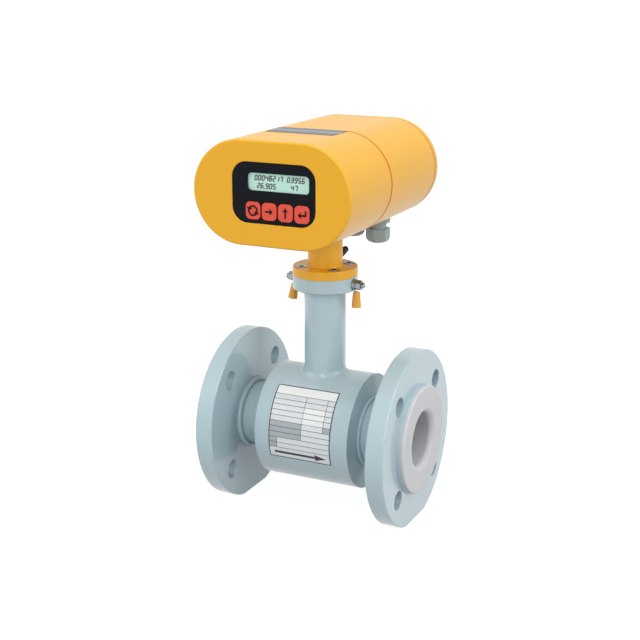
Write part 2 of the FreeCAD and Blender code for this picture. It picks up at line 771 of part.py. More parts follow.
def neck_flange():
    """Round plate with a sealing groove, tapped holes and two radial earthing holes."""
    body = new_body("neck_flange")
    pad(body, "Z", [disc("0", "0", "neck_flange_diameter"), disc("0", "0", "neck_flange_bore")],
        "neck_flange_base", "joint_height")
    dress(body, "Chamfer", "neck_flange_edge_break",
          lambda e: round_of(e, "neck_flange_diameter") and lies_at(e, "Z", "neck_flange_base"))
    groove = "ring_section / 2 + ring_side_clearance"
    cut(body, "Z", [disc("0", "0", "ring_diameter + 2 * (%s)" % groove),
                    disc("0", "0", "ring_diameter - 2 * (%s)" % groove)],
        "joint_height - ring_section", "joint_height")
    depth = "bolt_seat - head_bolt_reach - head_bolt_end_space"
    cut(body, "Z", [disc(x, y, "head_bolt") for x, y in bolt_places()], depth, "joint_height")
    rim = "neck_flange_diameter / 2"
    for swing in ("earth_angle", "earth_angle + 180"):
        cut(body, "X", [disc("0", "earth_height", "earth_spot_diameter")], "earth_seat", rim, swing)
        cut(body, "X", [disc("0", "earth_height", "earth_thread")],
            "earth_seat - earth_thread_depth", rim, swing)


def neck_ring():
    """Sealing ring of square section between the two neck flanges."""
    body = new_body("neck_ring")
    pad(body, "Z", [disc("0", "0", "ring_diameter + ring_section"),
                    disc("0", "0", "ring_diameter - ring_section")],
        "joint_height - ring_section", "joint_height")


def head_bolts():
    """Four socket head screws that hold the converter on the neck."""
    body = new_body("head_bolts")
    top = "bolt_seat + head_bolt_head_height"
    pad(body, "Z", [disc(x, y, "head_bolt") for x, y in bolt_places()],
        "bolt_seat - head_bolt_reach", "bolt_seat")
    pad(body, "Z", [disc(x, y, "head_bolt_head") for x, y in bolt_places()], "bolt_seat", top)
    cut(body, "Z", [hexagon(x, y, "head_bolt_socket") for x, y in bolt_places()],
        "%s - head_bolt_socket_depth" % top, top)


# Earthing studs, one on each side of the neck flange

def on_both_sides(body, loops, low, high):
    for swing in ("earth_angle", "earth_angle + 180"):
        pad(body, "X", loops, low, high, swing)


def earth_studs():
    body = new_body("earth_studs")
    on_both_sides(body, [disc("0", "earth_height", "earth_thread")],
                  "earth_seat - earth_thread_depth", "earth_tip")


def earth_washers():
    """A plain washer either side of the cable lug."""
    body = new_body("earth_washers")
    loops = [disc("0", "earth_height", "earth_washer"), disc("0", "earth_height", "earth_thread")]
    on_both_sides(body, loops, "earth_seat", "lug_seat")
    on_both_sides(body, loops, "outer_washer_seat", "spring_seat")


def earth_spring_washers():
    body = new_body("earth_spring_washers")
    loops = [disc("0", "earth_height", "earth_spring_washer"), disc("0", "earth_height", "earth_thread")]
    on_both_sides(body, loops, "spring_seat", "earth_nut_seat")


def earth_nuts():
    body = new_body("earth_nuts")
    loops = [hexagon("0", "earth_height", "earth_nut_flats"), disc("0", "earth_height", "earth_thread")]
    on_both_sides(body, loops, "earth_nut_seat", "earth_nut_seat + earth_nut_thickness")


def barrel_sketch(body, diameter, tilt):
    """Sketch across the top of the lug's barrel, which leans outwards below the stud."""
    sketch = sketch_on(body, "Z", "0", [disc("0", "0", diameter)])
    lean = FreeCAD.Rotation(FreeCAD.Vector(0, 1, 0), -number(tilt))
    sketch.AttachmentOffset = FreeCAD.Placement(FreeCAD.Vector(), lean)
    bind(sketch, ".AttachmentOffset.Base.x", "lug_barrel / 2 - lug_barrel_rise * sin(%s)" % tilt)
    bind(sketch, ".AttachmentOffset.Base.z", "lug_barrel_rise * cos(%s) - sleeve_drop" % tilt)
    return sketch


def earth_lug(label, side, tilt):
    """Ring lug: a flat ring on the stud and a crimp barrel below it."""
    body = new_body(label)
    pad(body, "X", [disc("0", "0", "lug_ring")], "0", "lug_sheet")
    pad(body, "X", [rectangle("0", "-(lug_tongue_start + sleeve_drop) / 2", "lug_tongue_width",
                              "sleeve_drop - lug_tongue_start")], "0", "lug_sheet")
    cut(body, "X", [disc("0", "0", "earth_thread + lug_hole_clearance")], "0", "lug_sheet")
    barrel = feature(body, "Pad", barrel_sketch(body, "lug_barrel", tilt))
    barrel.Reversed = True
    bind(barrel, "Length", "lug_barrel_length")
    crimp = feature(body, "Pocket", barrel_sketch(body, "lug_barrel_bore", tilt))
    bind(crimp, "Length", "lug_barrel_length")
    turn = "earth_angle + 180 * %d" % side
    place(body, "lug_seat * cos(%s)" % turn, "lug_seat * sin(%s)" % turn, "earth_height", angle=turn)


def lug_sleeve(label, side, tilt):
    """Tapered insulating sleeve over the barrel, open at its wide lower end."""
    body = new_body(label)
    grip, wall = "lug_barrel / 2", "sleeve_wall"
    top, bottom = "sleeve_top_diameter / 2", "sleeve_bottom_diameter / 2"
    revolve(body, "Z", [[(grip, "0"), (top, "0"), (bottom, "-sleeve_length"),
                         ("%s - %s" % (bottom, wall), "-sleeve_length"), (grip, "-sleeve_grip")]])
    turn = "earth_angle + 180 * %d" % side
    place(body, "lug_axis * cos(%s)" % turn, "lug_axis * sin(%s)" % turn, "earth_height - sleeve_drop")
    lean = FreeCAD.Rotation(FreeCAD.Vector(0, 1, 0), -number(tilt))
    swing = FreeCAD.Rotation(FreeCAD.Vector(0, 0, 1), number(turn))
    body.Placement.Rotation = swing.multiply(lean)


# Converter housing

def places_on_head(x, z, diameter):
    return [disc(px, "head_axis + " + pz, diameter) for px, pz in mirrored_pairs(x, z)]


def around(x, z, dx, dz, diameter):
    """Four discs in a rectangle about (x, z)."""
    return [disc("%s + %s" % (x, px), "%s + %s" % (z, pz), diameter) for px, pz in mirrored_pairs(dx, dz)]


def front_housing():
    """Deep cap with the display panel's recess in its front wall."""
    body = new_body("front_housing")
    pad(body, "Y", [obround("head_width", "head_height")], "front_face", "front_back")
    dress(body, "Fillet", "front_edge_radius", lambda e: lies_at(e, "Y", "front_face"))
    cut(body, "Y", [obround("cavity_width", "cavity_height")], "inner_front", "front_back")
    recess = [rounded("panel_x", "panel_z", "panel_width + 2 * panel_clearance",
                      "panel_height + 2 * panel_clearance", "panel_corner + panel_clearance")]
    cut(body, "Y", recess, "front_face", "panel_back")
    left, right = ("panel_x %s (panel_width / 2 + cut_margin)" % side for side in "-+")
    dress(body, "Fillet", "panel_edge_radius",
          lambda e: lies_at(e, "Y", "front_face") and number(left) < e.BoundBox.XMin
          and e.BoundBox.XMax < number(right))
    opening = [rounded("panel_x", "panel_z", "panel_width - 2 * panel_ledge",
                       "panel_height - 2 * panel_ledge", "panel_opening_corner")]
    cut(body, "Y", opening, "front_face", "inner_front")
    bosses = around("panel_x", "panel_z", "board_boss_x", "board_boss_z", "board_boss")
    pad(body, "Y", bosses, "inner_front - board_boss_root", "board_front")
    holes = around("panel_x", "panel_z", "board_boss_x", "board_boss_z", "board_screw")
    cut(body, "Y", holes, "board_front - board_screw_depth", "board_front")
    pad(body, "Y", places_on_head("tie_x", "tie_z", "column_diameter"),
        "front_back - tie_column_length", "front_back")
    cut(body, "Y", places_on_head("tie_x", "tie_z", "housing_screw"),
        "front_back - tie_thread_depth", "front_back")


def main_housing():
    """Body of the converter: two compartments, the neck below, gland holes in the rear one."""
    body = new_body("main_housing")
    pad(body, "Y", [obround("head_width", "head_height")], "main_front", "main_back")
    cavity = [obround("cavity_width", "cavity_height")]
    cut(body, "Y", cavity, "main_front", "partition_front")
    cut(body, "Y", cavity, "partition_back", "main_back")
    slot = [rounded("0", "head_axis + partition_slot_lift", "partition_slot_width",
                    "partition_slot_height", "partition_slot_corner")]
    cut(body, "Y", slot, "partition_front", "partition_back")
    pad(body, "Y", places_on_head("tie_x", "tie_z", "column_diameter"), "main_front", "partition_front")
    clear = "housing_screw + housing_screw_clearance"
    cut(body, "Y", places_on_head("tie_x", "tie_z", clear), "main_front", "partition_back")
    pad(body, "Y", places_on_head("cover_x", "cover_z", "column_diameter"),
        "cover_column_end - cover_column_length", "cover_column_end")
    cut(body, "Y", places_on_head("cover_x", "cover_z", "housing_screw"),
        "cover_column_end - cover_thread_depth", "cover_column_end")
    gland_openings(body)
    converter_neck(body)


def gland_openings(body):
    """Pads outside and inside the floor, and the holes through them."""
    pad(body, "Z", gland_discs("gland_pad_diameter"), "gland_pad_face", "head_floor + head_wall / 2")
    pad(body, "Z", [rectangle("0", "gland_row", "gland_inner_pad_width", "gland_inner_pad_depth")],
        "head_floor + head_wall / 2", "inner_pad_top")
    cut(body, "Z", gland_discs("gland_thread + gland_thread_clearance"), "gland_pad_face", "inner_pad_top")


def converter_neck(body):
    """Cast neck and flange under the housing, with counterbores for the head bolts."""
    pad(body, "Z", [disc("0", "0", "head_neck_diameter")], "joint_height", "head_floor + head_wall / 2")
    dress(body, "Fillet", "head_neck_radius",
          lambda e: round_of(e, "head_neck_diameter") and lies_at(e, "Z", "head_floor"))
    pad(body, "Z", [disc("0", "0", "head_flange_diameter")], "joint_height", "head_flange_top")
    dress(body, "Fillet", "head_flange_radius",
          lambda e: round_of(e, "head_flange_diameter") and lies_at(e, "Z", "head_flange_top"))
    dress(body, "Fillet", "head_flange_root",
          lambda e: round_of(e, "head_neck_diameter") and lies_at(e, "Z", "head_flange_top"))
    cut(body, "Z", [disc("0", "0", "head_neck_bore")], "joint_height", "head_floor + head_wall")
    cut(body, "Z", [disc(x, y, "head_bolt + head_bolt_clearance") for x, y in bolt_places()],
        "joint_height", "bolt_seat")
    cut(body, "Z", [disc(x, y, "counterbore_diameter") for x, y in bolt_places()],
        "bolt_seat", "head_flange_top")
    cut(body, "X", [disc("0", "plug_height", "plug_hole")], "head_neck_bore / 2 - cut_margin",
        "head_neck_diameter / 2", "plug_angle")


def seam_gasket(label, low, high, depth):
    """Flat gasket in a seam, set back from the outside."""
    body = new_body(label)
    outer = obround("head_width - 2 * %s" % depth, "head_height - 2 * %s" % depth)
    pad(body, "Y", [outer, obround("cavity_width", "cavity_height")], low, high)


def rear_cover():
    """Lid of the terminal compartment, centred by a spigot."""
    body = new_body("rear_cover")
    pad(body, "Y", [obround("head_width", "head_height")], "cover_front", "cover_back")
    dress(body, "Fillet", "rear_edge_radius", lambda e: lies_at(e, "Y", "cover_back"))
    side = "2 * spigot_clearance"
    pad(body, "Y", [obround("cavity_width - " + side, "cavity_height - " + side)],
        "main_back - spigot_depth", "cover_front")
    clear = "housing_screw + housing_screw_clearance"
    cut(body, "Y", places_on_head("cover_x", "cover_z", clear), "main_back - spigot_depth", "cover_back")
    cut(body, "Y", places_on_head("cover_x", "cover_z", "cover_counterbore"),
        "cover_back - cover_counterbore_depth", "cover_back")


def socket_screws(label, x, z, tip, seat):
    """Group of four socket head screws along Y, heads to the rear."""
    body = new_body(label)
    top = "%s + housing_screw_head_height" % seat
    pad(body, "Y", places_on_head(x, z, "housing_screw"), tip, seat)
    pad(body, "Y", places_on_head(x, z, "housing_screw_head"), seat, top)
    sockets = [hexagon(px, "head_axis + " + pz, "housing_screw_socket") for px, pz in mirrored_pairs(x, z)]
    cut(body, "Y", sockets, "%s - housing_screw_socket_depth" % top, top)


def blanking_plug():
    """Black domed plug in the rear of the converter's neck."""
    body = new_body("blanking_plug")
    wall = "head_neck_diameter / 2"
    cap_face = wall + " + plug_cap_height"
    pad(body, "X", [disc("0", "0", "plug_cap")], wall + " - cut_margin", cap_face)
    dress(body, "Fillet", "plug_dome_radius", lambda e: round_of(e, "plug_cap") and lies_at(e, "X", cap_face))
    cut(body, "Z", [disc("0", "0", "head_neck_diameter")], "-plug_cap", "plug_cap")
    pad(body, "X", [disc("0", "0", "plug_hole")], "head_neck_bore / 2 + plug_end_space",
        wall + " + cut_margin")
    place(body, "0", "0", "plug_height", angle="plug_angle")


# Display panel, keys and boards

def key_places():
    return ["panel_x + first_key_shift + %d * key_pitch" % i for i in range(4)]


def panel_bezel():
    """Black front panel with the openings of the display and the four keys."""
    body = new_body("panel_bezel")
    loops = [rounded("panel_x", "panel_z", "panel_width", "panel_height", "panel_corner"),
             rounded("window_x", "window_z", "window_width", "window_height", "window_corner")]
    side = "2 * key_clearance"
    loops += [rounded(x, "key_z", "key_width + " + side, "key_height + " + side,
                      "key_corner + key_clearance") for x in key_places()]
    pad(body, "Y", loops, "panel_front", "panel_back")


def display_window():
    body = new_body("display_window")
    side = "2 * window_clearance"
    pad(body, "Y", [rounded("window_x", "window_z", "window_width - " + side, "window_height - " + side,
                            "window_corner - window_clearance")],
        "panel_front + window_sink", "panel_back")


def display_module():
    body = new_body("display_module")
    pad(body, "Y", [rectangle("window_x", "window_z", "display_width", "display_height")],
        "display_front", "board_front")


def display_board():
    body = new_body("display_board")
    holes = around("panel_x", "panel_z", "board_boss_x", "board_boss_z", "board_screw")
    pad(body, "Y", [rectangle("panel_x", "panel_z", "board_width", "board_height")] + holes,
        "board_front", "board_back")


def display_board_screws():
    body = new_body("display_board_screws")
    where = ("panel_x", "panel_z", "board_boss_x", "board_boss_z")
    pad(body, "Y", around(*where, "board_screw"), "board_front - board_screw_depth", "board_back")
    pad(body, "Y", around(*where, "board_screw_head"), "board_back", "board_back + board_screw_head_height")


def key_switches():
    body = new_body("key_switches")
    pad(body, "Y", [rectangle(x, "key_z", "switch_size", "switch_size") for x in key_places()],
        "switch_front", "board_front")
    pad(body, "Y", [disc(x, "key_z", "switch_plunger") for x in key_places()],
        "plunger_front", "switch_front")


def key(label, x):
    """Key cap with a lip behind the panel and a stem that works its switch."""
    body = new_body(label)
    pad(body, "Y", [rounded(x, "key_z", "key_width", "key_height", "key_corner")], "key_front", "lip_front")
    dress(body, "Fillet", "key_edge_radius", lambda e: lies_at(e, "Y", "key_front"))
    pad(body, "Y", [rounded(x, "key_z", "key_width + 2 * key_lip_side", "key_height + 2 * key_lip",
                            "key_corner")], "lip_front", "lip_back")
    pad(body, "Y", [disc(x, "key_z", "key_stem")], "lip_back", "stem_back")


def main_board():
    body = new_body("main_board")
    pad(body, "Y", [rectangle("0", "head_axis", "main_board_width", "main_board_height")],
        "main_board_front", "main_board_back")


def board_standoffs():
    body = new_body("board_standoffs")
    pad(body, "Y", places_on_head("standoff_x", "standoff_z", "standoff_diameter"),
        "main_board_back", "partition_front")


def terminal_block():
    """Row of terminals on the partition, with a wire hole in the underside of each pole."""
    body = new_body("terminal_block")
    height = "head_axis + terminal_lift"
    pad(body, "Y", [rectangle("0", height, "terminal_width", "terminal_height")],
        "partition_back", "partition_back + terminal_depth")
    low = "%s - terminal_height / 2" % height
    first = "-(terminal_poles - 1) / 2 * terminal_pitch"
    hole = cut(body, "Z", [disc(first, "partition_back + terminal_depth / 2", "terminal_hole")],
               low, "%s + terminal_hole_depth" % low)
    row = body.newObject("PartDesign::LinearPattern", "terminal_row")
    row.Originals = [hole]
    axis = next(f for f in body.Origin.OriginFeatures if f.Role == "X_Axis")
    row.Direction = (axis, [""])
    bind(row, "Length", "(terminal_poles - 1) * terminal_pitch")
    bind(row, "Occurrences", "terminal_poles")
    body.Tip = row


# Cable glands

def gland_places():
    return [("%d * gland_pitch" % i, "gland_row") for i in (-1, 0, 1)]


def gland_discs(diameter):
    return [disc(x, y, diameter) for x, y in gland_places()]


def gland_bodies():
    """Hexagon base with the housing thread above it and the clamping spout below."""
    body = new_body("gland_bodies")
    top = "locknut_top + gland_end_clearance"
    pad(body, "Z", [hexagon(x, y, "gland_flats") for x, y in gland_places()], "gland_base", "gland_pad_face")
    pad(body, "Z", gland_discs("gland_thread"), "gland_pad_face", top)
    pad(body, "Z", gland_discs("gland_spout"), "spout_end", "gland_base")
    cut(body, "Z", gland_discs("gland_bore"), "spout_end", top)
    cut(body, "Z", gland_discs("gland_seat_diameter"), "spout_end", "seal_top")


def gland_seals():
    body = new_body("gland_seals")
    pad(body, "Z", gland_discs("gland_seat_diameter") + gland_discs("seal_bore"),
        "seal_top - seal_length", "seal_top")


def gland_locknuts():
    body = new_body("gland_locknuts")
    pad(body, "Z", [hexagon(x, y, "gland_flats") for x, y in gland_places()] + gland_discs("gland_thread"),
        "inner_pad_top", "locknut_top")


def gland_nut(label, x, gap):
    """Domed nut: a hexagon rounded off below, with a cavity that runs on the spout."""
    body = new_body(label)
    rim = "nut_corner"
    pad(body, "Z", [hexagon("0", "0", "gland_flats")], "0", "nut_height")
    outside = "%s + cut_margin" % rim
    revolve(body, "Z", [[("%s - nut_dome_radius" % rim, "0", "nut_dome_radius"),
                         (rim, "nut_dome_radius"), (outside, "nut_dome_radius"), (outside, "-cut_margin"),
                         ("%s - nut_dome_radius" % rim, "-cut_margin")]], "Groove")
    cut(body, "Z", [disc("0", "0", "nut_mouth")], "0", "nut_height")
    cut(body, "Z", [disc("0", "0", "gland_spout + 2 * nut_thread_clearance")], "nut_floor", "nut_height")
    place(body, x, "gland_row", "gland_base - (%s) - nut_height" % gap)


# Labels

def top_label():
    """Printed label laid on the flat top of the front housing."""
    body = new_body("top_label")
    width, depth = "top_label_width", "top_label_front - top_label_back"
    middle = "-(top_label_front + top_label_back) / 2"
    pad(body, "Z", [rectangle("0", middle, width, depth)], "head_top - cut_margin",
        "head_top + label_glue + label_thickness")
    cut(body, "Y", [obround("head_width + 2 * label_glue", "head_height + 2 * label_glue")],
        "-top_label_front", "-top_label_back")


def type_plate():
    """Plate bent round the front of the coil casing."""
    body = new_body("type_plate")
    inner, outer = "plate_inner", "(plate_inner + label_thickness)"
    low, high = "type_plate_low", "type_plate_high"
    corners = [("-%s * cos(%s)" % (outer, high), "%s * sin(%s)" % (outer, high), outer),
               ("-%s * cos(%s)" % (outer, low), "%s * sin(%s)" % (outer, low)),
               ("-%s * cos(%s)" % (inner, low), "%s * sin(%s)" % (inner, low), "clockwise " + inner),
               ("-%s * cos(%s)" % (inner, high), "%s * sin(%s)" % (inner, high))]
    pad(body, "X", [corners], "-type_plate_left", "type_plate_right")


# The whole meter

def build():
    flange("inlet_flange", True)
    flange("outlet_flange", False)
    measuring_tube()
    beads("flange_welds", "flange_back", "-", "flange_weld")
    liner()
    electrodes()
    electrode_bushes()
    electrode_nuts()
    coil_casing()
    casing_ends()
    beads("casing_welds", "casing_end", "+", "casing_weld")
    flux_yoke()
    pole_pieces()
    coils()
    neck_tube()
    neck_weld()
    neck_flange()
    neck_ring()
    head_bolts()
    earth_studs()
    earth_washers()
    earth_spring_washers()
    earth_nuts()
    earth_lug("inlet_earth_lug", 1, "inlet_lug_tilt")
    earth_lug("outlet_earth_lug", 0, "outlet_lug_tilt")
    lug_sleeve("inlet_lug_sleeve", 1, "inlet_lug_tilt")
    lug_sleeve("outlet_lug_sleeve", 0, "outlet_lug_tilt")
    front_housing()
    seam_gasket("front_gasket", "front_back", "main_front", "front_seam_depth")
    main_housing()
    seam_gasket("rear_gasket", "main_back", "cover_front", "rear_seam_depth")
    rear_cover()
    socket_screws("housing_screws", "tie_x", "tie_z",
                  "front_back - tie_thread_depth + screw_end_space", "partition_back")
    socket_screws("rear_cover_screws", "cover_x", "cover_z",
                  "cover_column_end - cover_thread_depth + screw_end_space",
                  "cover_back - cover_counterbore_depth")
    blanking_plug()
    panel_bezel()
    display_window()
    display_module()
    display_board()
    display_board_screws()
    key_switches()
    for label, x in zip(("key_refresh", "key_right", "key_up", "key_enter"), key_places()):
        key(label, x)
    main_board()
    board_standoffs()
    terminal_block()
    gland_bodies()
    gland_seals()
    gland_locknuts()
    gland_nut("gland_nut_left", "-gland_pitch", "outer_nut_gap")
    gland_nut("gland_nut_middle", "0", "middle_nut_gap")
    gland_nut("gland_nut_right", "gland_pitch", "outer_nut_gap")
    top_label()
    type_plate()


def check_and_write():
    """Stop if anything failed, then write each sub-part to a file of its own name."""
    doc.recompute()
    for item in doc.Objects:
        if "Invalid" in item.State or "Error" in item.State:
            raise RuntimeError("%s failed: %s" % (item.Label, item.State))
    for piece in pieces:
        if piece.Shape.isNull() or not piece.Shape.isValid():
            raise RuntimeError("%s has no valid shape" % piece.Label)
    os.makedirs("parts", exist_ok=True)
    for piece in pieces:
        piece.Shape.exportStep("parts/%s.step" % piece.Label)
        print("%-24s solids %2d  volume %10.1f" % (piece.Label, len(piece.Shape.Solids), piece.Shape.Volume))


build()
check_and_write()
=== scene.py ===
import math
import bmesh
import bpy
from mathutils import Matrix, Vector


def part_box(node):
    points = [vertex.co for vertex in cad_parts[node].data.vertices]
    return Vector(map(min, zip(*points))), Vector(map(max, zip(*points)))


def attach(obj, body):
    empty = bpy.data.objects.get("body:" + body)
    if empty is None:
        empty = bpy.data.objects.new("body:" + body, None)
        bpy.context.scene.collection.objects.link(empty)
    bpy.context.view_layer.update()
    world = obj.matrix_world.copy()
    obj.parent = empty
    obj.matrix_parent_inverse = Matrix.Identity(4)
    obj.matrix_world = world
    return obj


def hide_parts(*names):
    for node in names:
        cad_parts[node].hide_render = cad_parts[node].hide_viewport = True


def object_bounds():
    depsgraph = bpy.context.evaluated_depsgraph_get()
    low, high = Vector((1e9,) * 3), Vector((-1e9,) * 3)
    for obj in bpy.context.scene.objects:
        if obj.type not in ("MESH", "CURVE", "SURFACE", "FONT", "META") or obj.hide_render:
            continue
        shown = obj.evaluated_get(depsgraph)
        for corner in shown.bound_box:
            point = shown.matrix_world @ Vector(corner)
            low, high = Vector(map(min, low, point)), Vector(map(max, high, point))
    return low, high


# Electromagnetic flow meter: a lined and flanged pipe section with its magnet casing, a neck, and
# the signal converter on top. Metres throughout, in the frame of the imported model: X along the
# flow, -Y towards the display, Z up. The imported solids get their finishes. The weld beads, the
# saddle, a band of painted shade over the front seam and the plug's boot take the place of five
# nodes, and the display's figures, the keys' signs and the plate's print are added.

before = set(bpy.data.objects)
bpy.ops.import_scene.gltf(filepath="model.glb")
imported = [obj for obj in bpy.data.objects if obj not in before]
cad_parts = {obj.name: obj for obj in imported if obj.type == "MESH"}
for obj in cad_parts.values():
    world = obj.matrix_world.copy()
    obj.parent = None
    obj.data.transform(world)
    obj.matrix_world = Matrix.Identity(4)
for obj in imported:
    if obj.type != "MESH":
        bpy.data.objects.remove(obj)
cad_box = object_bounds()
MM = 0.001


# ---- Flanges, tube, coil casing and neck ----
# Forged and turned steel, welded up and sprayed with a two-pack epoxy in a pale blue-grey.
# The coat is satin, with the faint orange peel that a spray gun leaves.

def linear(colour):
    """sRGB hex to the linear values that shaders take."""
    parts = [int(colour[i:i + 2], 16) / 255 for i in (1, 3, 5)]
    return [v / 12.92 if v <= 0.04045 else ((v + 0.055) / 1.055) ** 2.4 for v in parts] + [1.0]


def add(tree, kind, inputs=None, **settings):
    """Add a node, set its properties, and set or link its inputs."""
    made = tree.nodes.new(kind)
    for name, value in settings.items():
        setattr(made, name, value)
    for socket, value in (inputs or {}).items():
        if isinstance(value, bpy.types.NodeSocket):
            tree.links.new(value, made.inputs[socket])
        else:
            made.inputs[socket].default_value = value
    return made


def start_material(name):
    """Empty material: its tree and its Object coordinates."""
    material = bpy.data.materials.new(name)
    material.use_nodes = True
    material.node_tree.nodes.clear()
    where = add(material.node_tree, "ShaderNodeTexCoord").outputs["Object"]
    return material, material.node_tree, where


def end_material(tree, colour, height, relief, shader, edge=0):
    """Principled surface with a coloured pattern, a relief and softened edges, in mm."""
    bump = add(tree, "ShaderNodeBump", {"Height": height, "Distance": relief * MM})
    if edge:
        rounded = add(tree, "ShaderNodeBevel", {"Radius": edge * MM}, samples=6)
        tree.links.new(rounded.outputs["Normal"], bump.inputs["Normal"])
    surface = add(tree, "ShaderNodeBsdfPrincipled",
                  {"Base Color": colour, "Normal": bump.outputs["Normal"], **shader})
    add(tree, "ShaderNodeOutputMaterial", {"Surface": surface.outputs["BSDF"]})


def coat(name, colour, shade, patch, grain, relief, shader, edge=0):
    """Even finish: one colour that drifts to a shade over patches, and a fine grain, in mm."""
    material, tree, where = start_material(name)
    drift = add(tree, "ShaderNodeTexNoise", {"Vector": where, "Scale": 1 / (patch * MM), "Detail": 3.0})
    mixed = add(tree, "ShaderNodeMix", {0: drift.outputs["Fac"], 6: linear(colour), 7: linear(shade)},
                data_type="RGBA")
    peel = add(tree, "ShaderNodeTexNoise", {"Vector": where, "Scale": 1 / (grain * MM), "Detail": 2.0})
    end_material(tree, mixed.outputs[2], peel.outputs["Fac"], relief, shader, edge)
    return material


def dress(names, material):
    """Give CAD nodes their finish."""
    for name in names.split():
        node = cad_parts[name]
        if not node.data.materials:
            node.data.materials.append(material)
        for slot in node.material_slots:
            slot.material = material


# Epoxy paint: satin, slightly cloudy, orange peel about 2 mm across, drawn out over every edge.
epoxy_paint = coat("epoxy_paint", "#A6BDC5", "#AFC5CD", 60, 2.2, 0.015,
                   {"Roughness": 0.36, "IOR": 1.5, "Coat Weight": 0.6, "Coat Roughness": 0.08}, edge=1.4)
dress("inlet_flange outlet_flange measuring_tube coil_casing casing_ends neck_tube neck_flange",
      epoxy_paint)


# ---- Weld beads ----
# Gas-shielded welds at the flange roots and round both ends of the casing, under the same paint.
# Each is a row of overlapping ripples, one for every step of the torch, laid along its joint.
# The weld round the neck's saddle is ground to a smooth hollow before it is painted.

BEAD_BULGE = 0.70          # radius of a ripple, of the weld's leg
BEAD_SET = 0.32            # how far its middle stands off both walls, of the leg
RIPPLE = 2.0 * MM
RIPPLE_REACH = 1.1         # half length of a ripple, of the step between two


def geometry_tree(name, inputs):
    """Geometry tree with named inputs, and its output node."""
    tree = bpy.data.node_groups.new(name, "GeometryNodeTree")
    tree.interface.new_socket("Geometry", in_out="OUTPUT", socket_type="NodeSocketGeometry")
    for label, kind in {"Geometry": "NodeSocketGeometry", **inputs}.items():
        tree.interface.new_socket(label, in_out="INPUT", socket_type=kind)
    return tree, add(tree, "NodeGroupInput").outputs


def close_tree(tree, geometry, material):
    """Real, smooth, painted geometry at the end of a tree."""
    real = add(tree, "GeometryNodeRealizeInstances", {"Geometry": geometry})
    smooth = add(tree, "GeometryNodeSetShadeSmooth", {"Geometry": real.outputs[0]})
    painted = add(tree, "GeometryNodeSetMaterial", {"Geometry": smooth.outputs[0], "Material": material})
    add(tree, "NodeGroupOutput", {"Geometry": painted.outputs[0]})


def grow(name, base, tree, values):
    """Run a geometry tree on a base mesh and keep the result as one plain mesh."""
    holder = bpy.data.objects.new(name + "_base", base)
    bpy.context.scene.collection.objects.link(holder)
    modifier = holder.modifiers.new("grow", "NODES")
    modifier.node_group = tree
    for item in tree.interface.items_tree:
        if item.in_out == "INPUT" and item.name in values:
            modifier[item.identifier] = values[item.name]
    graph = bpy.context.evaluated_depsgraph_get()
    mesh = bpy.data.meshes.new_from_object(holder.evaluated_get(graph), depsgraph=graph)
    bpy.data.objects.remove(holder)
    return settle(name, mesh)


def settle(name, mesh):
    """Put a finished mesh in the scene as an object at the origin."""
    made = bpy.data.objects.new(name, mesh)
    bpy.context.scene.collection.objects.link(made)
    return made


def keep_mesh(name, work, material):
    """Turn a bmesh into an object with one material."""
    mesh = bpy.data.meshes.new(name)
    work.to_mesh(mesh)
    work.free()
    mesh.materials.append(material)
    return settle(name, mesh)


def bridge(work, near, far):
    """Join two closed rings of a bmesh with quads."""
    count = len(near)
    return [work.faces.new((near[k], near[(k + 1) % count], far[(k + 1) % count], far[k]))
            for k in range(count)]


def closed_path(points):
    """Mesh of one closed line, for a tree that works along it."""
    mesh = bpy.data.meshes.new("path")
    mesh.from_pydata(points, [(i, (i + 1) % len(points)) for i in range(len(points))], [])
    return mesh


bead_tree, given = geometry_tree("bead", {"Leg": "NodeSocketFloat", "Ripple": "NodeSocketFloat",
                                          "Material": "NodeSocketMaterial"})
line = add(bead_tree, "GeometryNodeMeshToCurve", {"Mesh": given["Geometry"]})
steps = add(bead_tree, "GeometryNodeResampleCurve",
            {"Curve": line.outputs[0], "Length": given["Ripple"]}, mode="LENGTH")
along = add(bead_tree, "GeometryNodeInputTangent")
aim = add(bead_tree, "FunctionNodeAlignRotationToVector", {"Vector": along.outputs[0]}, axis="Y")
girth = add(bead_tree, "ShaderNodeMath", {0: given["Leg"], 1: BEAD_BULGE}, operation="MULTIPLY")
reach = add(bead_tree, "ShaderNodeMath", {0: given["Ripple"], 1: RIPPLE_REACH}, operation="MULTIPLY")
shape = add(bead_tree, "ShaderNodeCombineXYZ",
            {"X": girth.outputs[0], "Y": reach.outputs[0], "Z": girth.outputs[0]})
drop = add(bead_tree, "GeometryNodeMeshUVSphere", {"Segments": 16, "Rings": 8, "Radius": 1.0})
laid = add(bead_tree, "GeometryNodeInstanceOnPoints",
           {"Points": steps.outputs[0], "Instance": drop.outputs[0], "Rotation": aim.outputs[0],
            "Scale": shape.outputs[0]})
close_tree(bead_tree, laid.outputs[0], given["Material"])


def ring_points(x, radius, count=180):
    turns = [math.tau * i / count for i in range(count)]
    return [(x, radius * math.cos(t), radius * math.sin(t)) for t in turns]


def weld(name, points, leg):
    bead = grow(name, closed_path(points), bead_tree,
                {"Leg": leg, "Ripple": RIPPLE, "Material": epoxy_paint})
    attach(bead, "meter")
    return bead


tube_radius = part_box("measuring_tube")[1].z
casing_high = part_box("coil_casing")[1]
flange_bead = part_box("flange_welds")[1]
casing_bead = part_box("casing_welds")[1]
flange_leg = flange_bead.z - tube_radius
casing_leg = casing_bead.z - tube_radius

